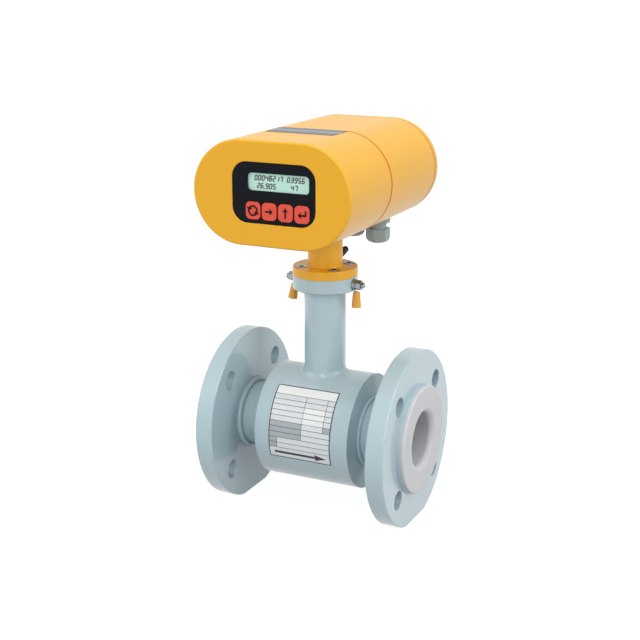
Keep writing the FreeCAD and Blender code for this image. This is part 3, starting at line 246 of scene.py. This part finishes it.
for side, end in ((-1, "inlet"), (1, "outlet")):
    at_flange = flange_bead.x - BEAD_SET * flange_leg
    bead = weld(end + "_flange_bead", ring_points(side * at_flange, tube_radius + BEAD_SET * flange_leg),
                flange_leg)
    if side == 1:
        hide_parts("flange_welds")
    at_casing = casing_high.x + BEAD_SET * casing_leg
    bead = weld(end + "_casing_bead", ring_points(side * at_casing, tube_radius + BEAD_SET * casing_leg),
                casing_leg)
    if side == 1:
        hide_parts("casing_welds")

# The saddle weld: a hollow that leaves the neck upright and runs out along the casing.
neck_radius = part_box("neck_tube")[1].x
casing_radius = casing_high.z
SADDLE_LEG = 6.0 * MM
BURIED = 0.8 * MM
PROFILE_STEPS = 14
SADDLE_TURNS = 144
saddle = bmesh.new()
sections = []
for i in range(SADDLE_TURNS):
    turn = math.tau * i / SADDLE_TURNS
    out_way = Vector((math.cos(turn), math.sin(turn), 0))
    on_casing = [out_way * out + Vector((0, 0, math.sqrt(casing_radius ** 2 - (out * out_way.y) ** 2)))
                 for out in (neck_radius, neck_radius + SADDLE_LEG)]
    corner, low = on_casing
    top = corner + Vector((0, 0, SADDLE_LEG))
    hollow = []
    for k in range(PROFILE_STEPS + 1):
        share = k / PROFILE_STEPS
        hollow.append(top * (1 - share) ** 2 + corner * 2 * share * (1 - share) + low * share ** 2)
    hollow.append(low - Vector((0, 0, BURIED)))
    hollow.append(corner - Vector((0, 0, BURIED)) - out_way * BURIED)
    hollow.append(top - out_way * BURIED)
    sections.append([saddle.verts.new(p) for p in hollow])
for i, near in enumerate(sections):
    for k, face in enumerate(bridge(saddle, near, sections[(i + 1) % SADDLE_TURNS])):
        face.smooth = k < PROFILE_STEPS
bmesh.ops.recalc_face_normals(saddle, faces=saddle.faces)
for edge in saddle.edges:
    edge.smooth = all(f.smooth for f in edge.link_faces)
neck_saddle = keep_mesh("neck_saddle", saddle, epoxy_paint)
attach(neck_saddle, "meter")
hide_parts("neck_weld")


# ---- Liner ----
# Fluoropolymer tube, pushed through the pipe hot and flared over both raised faces. It is
# off-white and waxy, lets a little light in, and shows turning marks on its faces.

ptfe, tree, where = start_material("fluoropolymer_liner")
cloud = add(tree, "ShaderNodeTexNoise", {"Vector": where, "Scale": 45.0, "Detail": 4.0})
tint = add(tree, "ShaderNodeMix", {0: cloud.outputs["Fac"], 6: linear("#C4C5C9"), 7: linear("#D0D0D3")},
           data_type="RGBA")
# The marks are about 5 mm apart, far coarser than real turning marks.
marks = add(tree, "ShaderNodeTexWave", {"Vector": where, "Scale": 60.0, "Distortion": 0.3},
            wave_type="RINGS", rings_direction="X")
end_material(tree, tint.outputs[2], marks.outputs["Fac"], 0.02,
             {"Roughness": 0.42, "IOR": 1.36, "Subsurface Weight": 0.25, "Subsurface Scale": 0.004,
              "Subsurface Radius": (1.0, 0.95, 0.9)})
dress("liner", ptfe)


# ---- Electrodes and magnet, inside the casing ----
# Two stainless electrodes in moulded bushes sit level with the liner. Round the tube are two
# pole shoes of soft iron, their enamelled copper windings and the yoke, all sealed in.

def brushed(name, colour, shade, pitch, relief, shader, stretch=(1, 1, 14)):
    """Metal with fine streaks that run one way; pitch in mm across the streaks."""
    material, tree, where = start_material(name)
    lined = add(tree, "ShaderNodeMapping", {"Vector": where, "Scale": [1 / s for s in stretch]})
    streak = add(tree, "ShaderNodeTexNoise",
                 {"Vector": lined.outputs[0], "Scale": 1 / (pitch * MM), "Detail": 4.0})
    mixed = add(tree, "ShaderNodeMix", {0: streak.outputs["Fac"], 6: linear(colour), 7: linear(shade)},
                data_type="RGBA")
    end_material(tree, mixed.outputs[2], streak.outputs["Fac"], relief, {"Metallic": 1.0, **shader})
    return material


# Stainless steel: bright, with fine upright streaks.
stainless = brushed("turned_stainless", "#BFC2C4", "#D4D6D8", 0.5, 0.004, {"Roughness": 0.28})
# Soft iron, annealed: dark and dull.
soft_iron = brushed("annealed_iron", "#5E5B58", "#77736F", 1.5, 0.02, {"Roughness": 0.55})
bush_plastic = coat("moulded_bush_plastic", "#D8CDB4", "#E2D9C4", 9, 0.6, 0.01, {"Roughness": 0.5})
dress("electrodes electrode_nuts", stainless)
dress("electrode_bushes", bush_plastic)
dress("pole_pieces flux_yoke", soft_iron)

# Enamelled copper wire, wound in layers about 1.6 mm apart, with a painted highlight on each
# layer's crown and painted shade in the grooves between.
enamelled_wire, tree, where = start_material("enamelled_copper_wire")
layers = add(tree, "ShaderNodeTexWave", {"Vector": where, "Scale": 200.0, "Distortion": 0.6},
             wave_type="BANDS", bands_direction="Z")
glow = add(tree, "ShaderNodeMix", {0: layers.outputs["Fac"], 6: linear("#8A3F1E"), 7: linear("#C4673A")},
           data_type="RGBA")
end_material(tree, glow.outputs[2], layers.outputs["Fac"], 0.2, {"Metallic": 0.85, "Roughness": 0.35})
dress("coils", enamelled_wire)


# ---- Converter housing ----
# Die-cast aluminium in three parts, powder coated in one go in a warm signal yellow. The coat
# is smooth with a low gloss, and thick enough to round every edge.

powder_coat = coat("yellow_powder_coat", "#E6A80A", "#E9AC0E", 80, 1.6, 0.012,
                   {"Roughness": 0.32, "IOR": 1.5}, edge=0.8)
dress("front_housing main_housing rear_cover", powder_coat)

# Nitrile rubber seals in the glands and the neck. The gaskets in the two seams carry painted
# shade: a darker orange than the housing that stands for the shade in the seams' grooves.
rubber = coat("nitrile_rubber", "#1B1B1C", "#262627", 6, 0.5, 0.02, {"Roughness": 0.7})
seam_shade_paint = coat("painted_seam_shade", "#C67A12", "#CC8016", 30, 1.0, 0.02,
                      {"Roughness": 0.6, "Specular IOR Level": 0.2})
dress("neck_ring gland_seals", rubber)
dress("rear_gasket", seam_shade_paint)

# An obround band of painted shade lies almost flush over the front seam and stands for the shade
# in its groove, in place of the front gasket.
SHADE_BAND_WIDE = 2.4 * MM
SHADE_BAND_DEEP = 0.8 * MM
SHADE_BAND_PROUD = 0.12 * MM
SHADE_BAND_STEPS = 96
seam_low, seam_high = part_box("front_gasket")
shell_low, shell_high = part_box("rear_cover")
shell_round = (shell_high.z - shell_low.z) / 2
shell_middle = (shell_high.z + shell_low.z) / 2
shell_straight = shell_high.x - shell_round
seam_y = (seam_low.y + seam_high.y) / 2
shade_band = bmesh.new()
sections = []
for side in (1, -1):
    for i in range(SHADE_BAND_STEPS + 1):
        turn = math.pi * (i / SHADE_BAND_STEPS - 0.5)
        way = Vector((side * math.cos(turn), 0, side * math.sin(turn)))
        root = Vector((side * shell_straight, seam_y, shell_middle)) + way * (shell_round + SHADE_BAND_PROUD)
        half_shade_band = Vector((0, SHADE_BAND_WIDE / 2, 0))
        inner = root - way * SHADE_BAND_DEEP
        sections.append([shade_band.verts.new(p) for p in (root - half_shade_band, root + half_shade_band,
                                                    inner + half_shade_band, inner - half_shade_band)])
for i, near in enumerate(sections):
    bridge(shade_band, near, sections[(i + 1) % len(sections)])
bmesh.ops.recalc_face_normals(shade_band, faces=shade_band.faces)
front_seam_shade_band = keep_mesh("front_seam_shade_band", shade_band, seam_shade_paint)
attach(front_seam_shade_band, "meter")
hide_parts("front_gasket")


# ---- Fasteners and earthing ----
# Socket head screws hold the converter on the neck and the housing together. Zinc-plated nuts
# and washers clamp a ring lug on each side of the neck flange, each in a soft yellow sleeve.

zinc = brushed("zinc_plated_steel", "#7E878C", "#A2A9AD", 0.8, 0.006, {"Roughness": 0.24})
tinned_copper = brushed("tinned_copper", "#B9BABA", "#CFCFCD", 1.0, 0.006, {"Roughness": 0.35})
sleeve_vinyl = coat("yellow_sleeve_vinyl", "#D9982B", "#E3A53A", 5, 0.7, 0.02, {"Roughness": 0.45})
dress("housing_screws rear_cover_screws display_board_screws", stainless)
dress("head_bolts earth_studs earth_washers earth_spring_washers earth_nuts", zinc)
dress("inlet_earth_lug outlet_earth_lug", tinned_copper)
dress("inlet_lug_sleeve outlet_lug_sleeve", sleeve_vinyl)

# The blanking plug behind the neck is a boot moulded in black rubber: a stub in the hole, a foot
# on the wall and a round end that points up and outwards.
PLUG_TURN = math.radians(60)
NECK_WALL = 16.0 * MM
plug_low, plug_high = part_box("blanking_plug")
plug_height = (plug_low.z + plug_high.z) / 2
plug_foot = (plug_high.z - plug_low.z) / 2
STUB = 2.4 * MM
END_RADIUS = 3.1 * MM
END_OUT = 6.4 * MM
END_RISE = 3.6 * MM
STUB_DEEP = 3.0 * MM
FOOT_THICK = 0.5 * MM
FOOT_TOP = 1.2 * MM
FOOT_EDGE = 0.94          # radius of the foot against the wall, of its full radius
FOOT_NECK = 0.97          # radius at the top of the foot
NECK_FOOT = 0.95          # radius where the neck begins
NECK_START = 0.2          # how far out the neck begins, of END_OUT
EARLY_LEAN = 0.15         # how much sooner than it rises the neck leans over
SPOKES = 32
NECK_RINGS = 6
END_RINGS = 8
END_SWING = math.radians(10)

outwards = Vector((math.cos(PLUG_TURN), math.sin(PLUG_TURN), 0))
sideways = Vector((-outwards.y, outwards.x, 0))
lean = math.atan2(END_RISE, END_OUT)
# Each ring is how far out, how far up, its radius and its tilt.
rings = [(-STUB_DEEP, 0, STUB, 0), (0, 0, STUB, 0), (0, 0, plug_foot * FOOT_EDGE, 0),
         (FOOT_THICK, 0, plug_foot, 0), (FOOT_TOP, 0, plug_foot * FOOT_NECK, 0.1 * lean)]
for i in range(1, NECK_RINGS + 1):
    share = i / NECK_RINGS
    rings.append((END_OUT * (NECK_START + (1 - NECK_START) * share), END_RISE * share,
                  plug_foot * NECK_FOOT + (END_RADIUS - plug_foot * NECK_FOOT) * share,
                  lean * min(1, share + EARLY_LEAN)))
for i in range(1, END_RINGS + 1):
    swing = END_SWING * i
    rings.append((END_OUT + END_RADIUS * math.sin(swing) * math.cos(lean),
                  END_RISE + END_RADIUS * math.sin(swing) * math.sin(lean),
                  END_RADIUS * math.cos(swing), lean))
boot = bmesh.new()
spokes = [math.tau * k / SPOKES for k in range(SPOKES)]
loops = []
for out, rise, radius, tilt in rings:
    upwards = Vector((0, 0, 1)) * math.cos(tilt) - outwards * math.sin(tilt)
    ring_middle = outwards * (NECK_WALL + out) + Vector((0, 0, plug_height + rise))
    loops.append([boot.verts.new(ring_middle + (sideways * math.cos(t) + upwards * math.sin(t)) * radius)
                  for t in spokes])
boot.faces.new(loops[0])
boot.faces.new(loops[-1][::-1])
for near, far in zip(loops, loops[1:]):
    bridge(boot, near, far)
bmesh.ops.recalc_face_normals(boot, faces=boot.faces)
for face in boot.faces:
    face.smooth = len(face.verts) == 4
blanking_boot = keep_mesh("blanking_boot", boot, rubber)
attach(blanking_boot, "meter")
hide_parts("blanking_plug")


# ---- Boards and terminals, inside the housing ----
# The display board stands on four bosses behind the panel, the main board on the partition,
# and the terminals face the rear compartment.

# Fibreglass board under green lacquer, with a pattern of tracks 3 to 5 mm across.
board, tree, where = start_material("green_circuit_board")
cells = add(tree, "ShaderNodeTexVoronoi", {"Vector": where, "Scale": 220.0}, distance="MANHATTAN",
            feature="F1")
tracks = add(tree, "ShaderNodeMix", {0: cells.outputs["Distance"], 6: linear("#0F4A2A"),
                                     7: linear("#1E7440")}, data_type="RGBA")
end_material(tree, tracks.outputs[2], cells.outputs["Distance"], 0.03, {"Roughness": 0.3})
terminal_plastic = coat("green_terminal_plastic", "#2F8C4A", "#3B9A57", 8, 0.5, 0.01, {"Roughness": 0.45})
switch_plastic = coat("black_switch_plastic", "#1A1A1B", "#232324", 4, 0.4, 0.01, {"Roughness": 0.4})
dress("display_board main_board", board)
dress("terminal_block", terminal_plastic)
dress("key_switches", switch_plastic)
dress("board_standoffs", stainless)


# ---- Display panel ----
# A black polycarbonate panel with a fine matt grain is let into the front. Behind its clear
# window is a reflective liquid crystal display of two rows of slanted seven-bar figures.

panel_plastic = coat("black_panel_polycarbonate", "#05080E", "#080B12", 12, 0.5, 0.012,
                     {"Roughness": 0.45, "Specular IOR Level": 0.1})
dress("panel_bezel", panel_plastic)

# Acrylic window: clear, with a slight shine.
window_acrylic = coat("clear_acrylic", "#F4F8F6", "#FFFFFF", 20, 3, 0.001,
                      {"Roughness": 0.08, "Alpha": 0.06, "IOR": 1.49})
dress("display_window", window_acrylic)

# Liquid crystal glass over a grey-green reflector, slightly cloudy.
crystal = coat("liquid_crystal_glass", "#B2E2D0", "#BCE9D9", 14, 0.4, 0.004, {"Roughness": 0.4})
dress("display_module", crystal)

window_low, window_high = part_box("display_window")
module_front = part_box("display_module")[0].y
# The bars of a figure, each by its middle in halves of the figure's width and height.
BARS = {"top": (0, 1), "upper_right": (1, 0.5), "lower_right": (1, -0.5), "foot": (0, -1),
        "lower_left": (-1, -0.5), "upper_left": (-1, 0.5), "waist": (0, 0)}
OFF_BARS = {"0": "waist", "1": "top foot waist lower_left upper_left", "2": "upper_left lower_right",
            "3": "upper_left lower_left", "4": "top foot lower_left", "5": "upper_right lower_left",
            "6": "upper_right", "7": "foot waist lower_left upper_left", "8": "", "9": "lower_left"}
SHOWN_ROWS = ("00048217 03956", "26.905    47")
FIGURE_TALL = 3.9 * MM     # between the middles of the top and bottom bars
FIGURE_WIDE = 2.0 * MM
FIGURE_STEP = 3.35 * MM
POINT_STEP = 1.3 * MM
ROW_DROP = 6.5 * MM
BAR_WIDE = 1.0 * MM
BAR_LONG = 1.9 * MM
SLANT = math.tan(math.radians(10))
BAR_LIFT = 0.03 * MM       # the bars lie in the glass, just in front of the module

window_middle = (window_low + window_high) / 2
bars = []
for row, shown in enumerate(SHOWN_ROWS):
    row_middle = window_middle.z + ROW_DROP * (0.5 - row)
    across = window_middle.x - len(shown) * FIGURE_STEP / 2 + FIGURE_STEP / 2
    for figure in shown:
        if figure == ".":
            bars.append((across - FIGURE_STEP + POINT_STEP + FIGURE_WIDE / 2, row_middle - FIGURE_TALL / 2,
                         0, BAR_WIDE / BAR_LONG))
            across += POINT_STEP - FIGURE_STEP
        elif figure != " ":
            for bar, (right, up) in BARS.items():
                if bar not in OFF_BARS[figure].split():
                    bars.append((across + right * FIGURE_WIDE / 2, row_middle + up * FIGURE_TALL / 2,
                                 abs(right), 1))
        across += FIGURE_STEP

bar_tree, given = geometry_tree("bars", {"Long": "NodeSocketFloat", "Wide": "NodeSocketFloat",
                                         "Slant": "NodeSocketFloat", "Middle": "NodeSocketFloat",
                                         "Material": "NodeSocketMaterial"})
size = add(bar_tree, "ShaderNodeCombineXYZ", {"X": given["Long"], "Y": 0.01 * MM, "Z": given["Wide"]})
bar = add(bar_tree, "GeometryNodeMeshCube", {"Size": size.outputs[0]})
upright = add(bar_tree, "GeometryNodeInputNamedAttribute", {"Name": "upright"}, data_type="FLOAT")
turned = add(bar_tree, "ShaderNodeMath", {0: upright.outputs[0], 1: math.pi / 2}, operation="MULTIPLY")
stand = add(bar_tree, "ShaderNodeCombineXYZ", {"Y": turned.outputs[0]})
share = add(bar_tree, "GeometryNodeInputNamedAttribute", {"Name": "share"}, data_type="FLOAT")
reach = add(bar_tree, "ShaderNodeCombineXYZ", {"X": share.outputs[0], "Y": 1.0, "Z": 1.0})
drawn = add(bar_tree, "GeometryNodeInstanceOnPoints",
            {"Points": given["Geometry"], "Instance": bar.outputs[0], "Rotation": stand.outputs[0],
             "Scale": reach.outputs[0]})
real = add(bar_tree, "GeometryNodeRealizeInstances", {"Geometry": drawn.outputs[0]})
place = add(bar_tree, "GeometryNodeInputPosition")
axes = add(bar_tree, "ShaderNodeSeparateXYZ", {"Vector": place.outputs[0]})
above = add(bar_tree, "ShaderNodeMath", {0: axes.outputs["Z"], 1: given["Middle"]}, operation="SUBTRACT")
lean_by = add(bar_tree, "ShaderNodeMath", {0: above.outputs[0], 1: given["Slant"]}, operation="MULTIPLY")
shift = add(bar_tree, "ShaderNodeCombineXYZ", {"X": lean_by.outputs[0]})
slanted = add(bar_tree, "GeometryNodeSetPosition", {"Geometry": real.outputs[0], "Offset": shift.outputs[0]})
close_tree(bar_tree, slanted.outputs[0], given["Material"])

# Switched liquid crystal: a soft blue-black.
dark_crystal = coat("switched_crystal", "#050A0A", "#0A100F", 5, 0.3, 0.001,
                    {"Roughness": 0.5, "Specular IOR Level": 0.1})
bar_places = bpy.data.meshes.new("bars")
bar_places.from_pydata([(x, module_front - BAR_LIFT, z) for x, z, _, _ in bars], [], [])
for index, label in ((2, "upright"), (3, "share")):
    bar_places.attributes.new(label, "FLOAT", "POINT").data.foreach_set("value", [b[index] for b in bars])
figures = grow("display_figures", bar_places, bar_tree,
               {"Long": BAR_LONG, "Wide": BAR_WIDE, "Slant": SLANT, "Middle": window_middle.z,
                "Material": dark_crystal})
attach(figures, "meter")


# ---- Keys ----
# Four silicone rubber keys in signal red, each with its sign printed in dark brown on top:
# two circling arrows, an arrow to the right, an arrow up and a return arrow.

key_rubber = coat("red_silicone_rubber", "#D8452F", "#DF4D38", 6, 0.4, 0.015,
                  {"Roughness": 0.5, "Subsurface Weight": 0.1, "Subsurface Scale": 0.001})
sign_ink = coat("dark_brown_ink", "#2A0505", "#330808", 5, 0.4, 0.002,
                {"Roughness": 0.5, "Specular IOR Level": 0.15})
dress("key_refresh key_right key_up key_enter", key_rubber)

INK_THICK = 0.04 * MM
STROKE = 1.65 * MM
HEAD_LONG = 3.3 * MM
HEAD_WIDE = 5.6 * MM


def slab(mesh, outline, back, front):
    """Add a thin plate to a bmesh: an outline in (x, z), pushed out from back to front along -Y."""
    rear = [mesh.verts.new((x, back, z)) for x, z in outline]
    face = [mesh.verts.new((x, front, z)) for x, z in outline]
    mesh.faces.new(rear)
    mesh.faces.new(face[::-1])
    for i in range(len(outline)):
        j = (i + 1) % len(outline)
        mesh.faces.new((rear[i], face[i], face[j], rear[j]))


def band(points, width):
    """Outline of a stroke of even width along a line of points."""
    sides = ([], [])
    for i, point in enumerate(points):
        before, after = points[max(i - 1, 0)], points[min(i + 1, len(points) - 1)]
        run = (after - before).normalized()
        square_off = Vector((-run.y, run.x)) * width / 2
        if 0 < i < len(points) - 1:
            square_off /= max((point - before).normalized().dot(run), 0.5)
        sides[0].append(point + square_off)
        sides[1].append(point - square_off)
    return sides[0] + sides[1][::-1]


def arrow_head(tip, way, long, wide):
    """Triangle with its tip at a point, looking along a direction."""
    across = Vector((-way.y, way.x)) * wide / 2
    return [tip, tip - way * long + across, tip - way * long - across]


def key_sign(key):
    """The outlines of a key's sign, about the middle of the key."""
    if key == "key_refresh":
        radius = 3.9 * MM
        shapes = []
        for start in (0, math.pi):
            sweep = [start + math.radians(150) * i / 14 for i in range(15)]
            shapes.append(band([Vector((math.cos(t), math.sin(t))) * radius for t in sweep], STROKE))
            last = sweep[-1]
            way = Vector((-math.sin(last + 0.3), math.cos(last + 0.3)))
            tip = Vector((math.cos(last), math.sin(last))) * radius + way * HEAD_LONG * 0.8
            shapes.append(arrow_head(tip, way, HEAD_LONG, HEAD_WIDE))
        return shapes
    if key == "key_enter":
        left, right, low, high = -3.9 * MM, 3.6 * MM, -0.6 * MM, 3.4 * MM
        path = [Vector((right, high)), Vector((right, low)), Vector((left + HEAD_LONG, low))]
        return [band(path, STROKE), arrow_head(Vector((left, low)), Vector((-1, 0)), HEAD_LONG, HEAD_WIDE)]
    way, reach = (Vector((1, 0)), 3.75 * MM) if key == "key_right" else (Vector((0, 1)), 4.4 * MM)
    return [band([way * -reach, way * (reach - HEAD_LONG)], STROKE),
            arrow_head(way * reach, way, HEAD_LONG, HEAD_WIDE)]


for key in ("key_refresh", "key_right", "key_up", "key_enter"):
    low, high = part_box(key)
    centre = (low + high) / 2
    drawing = bmesh.new()
    for outline in key_sign(key):
        slab(drawing, [(centre.x + p.x, centre.z + p.y) for p in outline], low.y, low.y - INK_THICK)
    bmesh.ops.recalc_face_normals(drawing, faces=drawing.faces)
    sign = keep_mesh(key + "_sign", drawing, sign_ink)
    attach(sign, key + "_body")


# ---- Cable glands ----
# Three glands moulded in grey polyamide, screwed up through the floor of the rear compartment
# and held by locknuts. Their faces show the fine matt grain of the mould.

polyamide = coat("grey_polyamide", "#8F9A9C", "#9CA7A9", 12, 0.5, 0.02, {"Roughness": 0.42})
dress("gland_bodies gland_nut_left gland_nut_middle gland_nut_right gland_locknuts", polyamide)


# ---- Labels ----
# A dark slate film label lies along the top of the front housing, and a silvery film plate is
# bent round the front of the casing, with ruled rows, grey cells and the arrow of the flow.

# Printed polyester film: slate, with a paler band along the middle.
BAND_HALF = 4.5 * MM
film, tree, where = start_material("slate_polyester_film")
axes = add(tree, "ShaderNodeSeparateXYZ", {"Vector": where})
label_low, label_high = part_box("top_label")
label_middle = (label_low.y + label_high.y) / 2
off_middle = add(tree, "ShaderNodeMath", {0: axes.outputs["Y"], 1: -label_middle}, operation="ADD")
distance = add(tree, "ShaderNodeMath", {0: off_middle.outputs[0]}, operation="ABSOLUTE")
in_band = add(tree, "ShaderNodeMath", {0: distance.outputs[0], 1: BAND_HALF}, operation="LESS_THAN")
banded = add(tree, "ShaderNodeMix", {0: in_band.outputs[0], 6: linear("#56616E"), 7: linear("#7D8894")},
             data_type="RGBA")
speck = add(tree, "ShaderNodeTexNoise", {"Vector": where, "Scale": 900.0, "Detail": 2.0})
end_material(tree, banded.outputs[2], speck.outputs["Fac"], 0.008, {"Roughness": 0.4})
dress("top_label", film)

# Metallised polyester film: a silver-white that is slightly streaked along its roll.
plate_film = brushed("metallised_polyester_film", "#C9CED2", "#D9DDE0", 1.2, 0.004,
                     {"Metallic": 0.25, "Roughness": 0.4}, stretch=(20, 1, 1))
dress("type_plate", plate_film)

plate_low, plate_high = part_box("type_plate")
plate_radius = -plate_low.y
PRINT_LIFT = 0.02 * MM
LINE = 0.45 * MM
BORDER = 0.9 * MM
PLATE_FILM = 0.3 * MM
plate_foot = math.asin(plate_low.z / (plate_radius - PLATE_FILM))
plate_top = math.asin(plate_high.z / plate_radius)
plate_tall = (plate_top - plate_foot) * plate_radius


def wrap(mesh, outline):
    """Add a thin print to a bmesh: an outline in (x, height up the plate), bent round the casing."""
    rings = []
    for lift in (PRINT_LIFT, PRINT_LIFT / 2):
        radius = plate_radius + lift
        angles = [plate_foot + up / plate_radius for _, up in outline]
        rings.append([mesh.verts.new((x, -radius * math.cos(t), radius * math.sin(t)))
                      for (x, _), t in zip(outline, angles)])
    face, rear = rings
    mesh.faces.new(face)
    mesh.faces.new(rear[::-1])
    for i in range(len(outline)):
        j = (i + 1) % len(outline)
        mesh.faces.new((face[j], face[i], rear[i], rear[j]))


def wrap_box(mesh, left, right, low, high, step=2 * MM):
    """A rectangle of print, cut into strips that follow the curve."""
    count = max(1, math.ceil((high - low) / step))
    for i in range(count):
        a, b = low + (high - low) * i / count, low + (high - low) * (i + 1) / count
        wrap(mesh, [(left, a), (right, a), (right, b), (left, b)])


def printed(name, mesh, ink):
    bmesh.ops.remove_doubles(mesh, verts=mesh.verts, dist=1e-7)
    bmesh.ops.recalc_face_normals(mesh, faces=mesh.faces)
    made = keep_mesh(name, mesh, ink)
    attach(made, "meter")
    return made


black_ink = coat("black_screen_ink", "#15181B", "#1E2226", 6, 0.4, 0.002, {"Roughness": 0.45})
grey_ink = coat("grey_screen_ink", "#A0A9AE", "#ABB3B8", 6, 0.4, 0.002, {"Roughness": 0.5})
white_ink = coat("white_screen_ink", "#E4E8EA", "#EDEFF1", 6, 0.4, 0.002, {"Roughness": 0.5})

left, right = plate_low.x, plate_high.x
wide = right - left
# The layout, in shares of the plate.
HEADER_AT, ROWS_AT, HALF_AT, COLUMN, END_CELL = 0.865, 0.15, 0.53, 0.13, 0.12
header = plate_tall * HEADER_AT
rows = 10
row_tall = (header - plate_tall * ROWS_AT) / rows
first_row = header - rows * row_tall
half = left + wide * HALF_AT

cells = bmesh.new()
wrap_box(cells, left + BORDER, half, first_row + 2 * row_tall, first_row + 5 * row_tall)
wrap_box(cells, left + BORDER, left + wide * COLUMN, first_row, first_row + 2 * row_tall)
wrap_box(cells, right - wide * END_CELL, right - BORDER, first_row + 4 * row_tall, first_row + 5 * row_tall)
printed("type_plate_cells", cells, grey_ink)

pale = bmesh.new()
wrap_box(pale, left + BORDER, right - BORDER, header, plate_tall - BORDER)
wrap_box(pale, half, right - wide * COLUMN, first_row + 5 * row_tall, first_row + 8 * row_tall)
printed("type_plate_fields", pale, white_ink)

print_lines = bmesh.new()
wrap_box(print_lines, left, left + BORDER, 0, plate_tall)
wrap_box(print_lines, right - BORDER, right, 0, plate_tall)
wrap_box(print_lines, left + BORDER, right - BORDER, 0, BORDER)
wrap_box(print_lines, left + BORDER, right - BORDER, plate_tall - BORDER, plate_tall)
for i in range(rows + 1):
    up = first_row + i * row_tall
    wrap_box(print_lines, left + BORDER, right - BORDER, up - LINE / 2, up + LINE / 2)
wrap_box(print_lines, half - LINE / 2, half + LINE / 2, first_row + 2 * row_tall, header)
wrap_box(print_lines, left + wide * COLUMN, left + wide * COLUMN + LINE, first_row, first_row + 2 * row_tall)
wrap_box(print_lines, right - wide * COLUMN, right - wide * COLUMN + LINE, first_row + 4 * row_tall, header)
SHAFT_FROM, SHAFT_TO = 0.09, 0.75      # of the plate's width
SHAFT_HALF = 1.2 * MM
POINT_HALF = 3.1 * MM
POINT_LONG = 11 * MM
arrow_up = first_row / 2 + BORDER / 2
shaft_end = left + wide * SHAFT_TO
wrap_box(print_lines, left + wide * SHAFT_FROM, shaft_end, arrow_up - SHAFT_HALF, arrow_up + SHAFT_HALF)
steps = [POINT_HALF * (i - 6) / 6 for i in range(13)]
for low, high in zip(steps, steps[1:]):
    wrap(print_lines, [(shaft_end, arrow_up + low),
                       (shaft_end + POINT_LONG * (1 - abs(low) / POINT_HALF) + LINE / 2, arrow_up + low),
                       (shaft_end + POINT_LONG * (1 - abs(high) / POINT_HALF) + LINE / 2, arrow_up + high),
                       (shaft_end, arrow_up + high)])
printed("type_plate_lines", print_lines, black_ink)


# ---- Studio ----
# A pale floor and a white surround, a large soft lamp overhead, one at each side and a tall
# narrow one in front, all of them even and white.

def direct_rays(tree):
    """1 for rays from the camera, a reflection or clear glass, and 0 for scattered light."""
    rays = add(tree, "ShaderNodeLightPath")
    either = add(tree, "ShaderNodeMath", {0: rays.outputs["Is Camera Ray"], 1: rays.outputs["Is Glossy Ray"]},
                 operation="MAXIMUM")
    return add(tree, "ShaderNodeMath", {0: either.outputs[0], 1: rays.outputs["Is Transmission Ray"]},
               operation="MAXIMUM").outputs[0]


floor_high = cad_box[0][2]
floor_mesh = bpy.data.meshes.new("floor")
FLOOR = 30.0
FLOOR_GLOW = 0.88
SKY_LIGHT = 0.65
floor_mesh.from_pydata([(-FLOOR, -FLOOR, floor_high), (FLOOR, -FLOOR, floor_high),
                        (FLOOR, FLOOR, floor_high), (-FLOOR, FLOOR, floor_high)], [], [(0, 1, 2, 3)])
floor_paint = bpy.data.materials.new("white_paper_floor")
floor_paint.use_nodes = True
tree = floor_paint.node_tree
tree.nodes.clear()
seen = direct_rays(tree)
lift = add(tree, "ShaderNodeMath", {0: seen, 1: FLOOR_GLOW}, operation="MULTIPLY")
paper = add(tree, "ShaderNodeBsdfDiffuse", {"Color": linear("#989898")})
glow = add(tree, "ShaderNodeEmission", {"Strength": lift.outputs[0]})
both = add(tree, "ShaderNodeAddShader", {0: paper.outputs[0], 1: glow.outputs[0]})
add(tree, "ShaderNodeOutputMaterial", {"Surface": both.outputs[0]})
floor_mesh.materials.append(floor_paint)
floor = settle("floor", floor_mesh)

surround = bpy.data.worlds.new("white_surround")
bpy.context.scene.world = surround
surround.use_nodes = True
tree = surround.node_tree
tree.nodes.clear()
seen = direct_rays(tree)
level = add(tree, "ShaderNodeMapRange", {"Value": seen, "To Min": SKY_LIGHT, "To Max": 1.0})
sky = add(tree, "ShaderNodeBackground", {"Color": linear("#FFFFFF"), "Strength": level.outputs[0]})
add(tree, "ShaderNodeOutputWorld", {"Surface": sky.outputs[0]})

object_middle = Vector((0, 0, (cad_box[0][2] + cad_box[1][2]) / 2))


def lamp(name, watts, size, place):
    data = bpy.data.lights.new(name, "AREA")
    data.shape = "RECTANGLE"
    data.size, data.size_y = size
    data.energy = watts
    made = bpy.data.objects.new(name, data)
    bpy.context.scene.collection.objects.link(made)
    made.location = place
    made.rotation_euler = (object_middle - made.location).to_track_quat("-Z", "Y").to_euler()


lamp("overhead_lamp", 14, (1.6, 1.6), Vector((0.1, -0.2, 1.9)))
lamp("right_lamp", 12.5, (1.0, 1.4), Vector((1.7, -0.3, 0.7)))
lamp("left_lamp", 8, (1.0, 1.4), Vector((-1.5, -1.0, 0.6)))
lamp("front_lamp", 7.5, (0.3, 1.5), Vector((0.15, -1.75, 0.65)))

# The camera stands to the right of the display and a little above the converter.
VIEW_AZIMUTH = math.radians(25.65)
VIEW_ELEVATION = math.radians(15.94)
VIEW_DISTANCE = 1.167
aim_at = Vector((-0.00536, 0, 0.10068))
back = Vector((math.sin(VIEW_AZIMUTH) * math.cos(VIEW_ELEVATION),
               -math.cos(VIEW_AZIMUTH) * math.cos(VIEW_ELEVATION), math.sin(VIEW_ELEVATION)))
camera = bpy.data.objects.new("camera", bpy.data.cameras.new("camera"))
bpy.context.scene.collection.objects.link(camera)
camera.location = aim_at + back * VIEW_DISTANCE
camera.rotation_euler = (-back).to_track_quat("-Z", "Y").to_euler()
camera.data.sensor_width = 36
camera.data.lens = 70.7
bpy.context.scene.camera = camera
bpy.context.scene.view_settings.view_transform = "Standard"
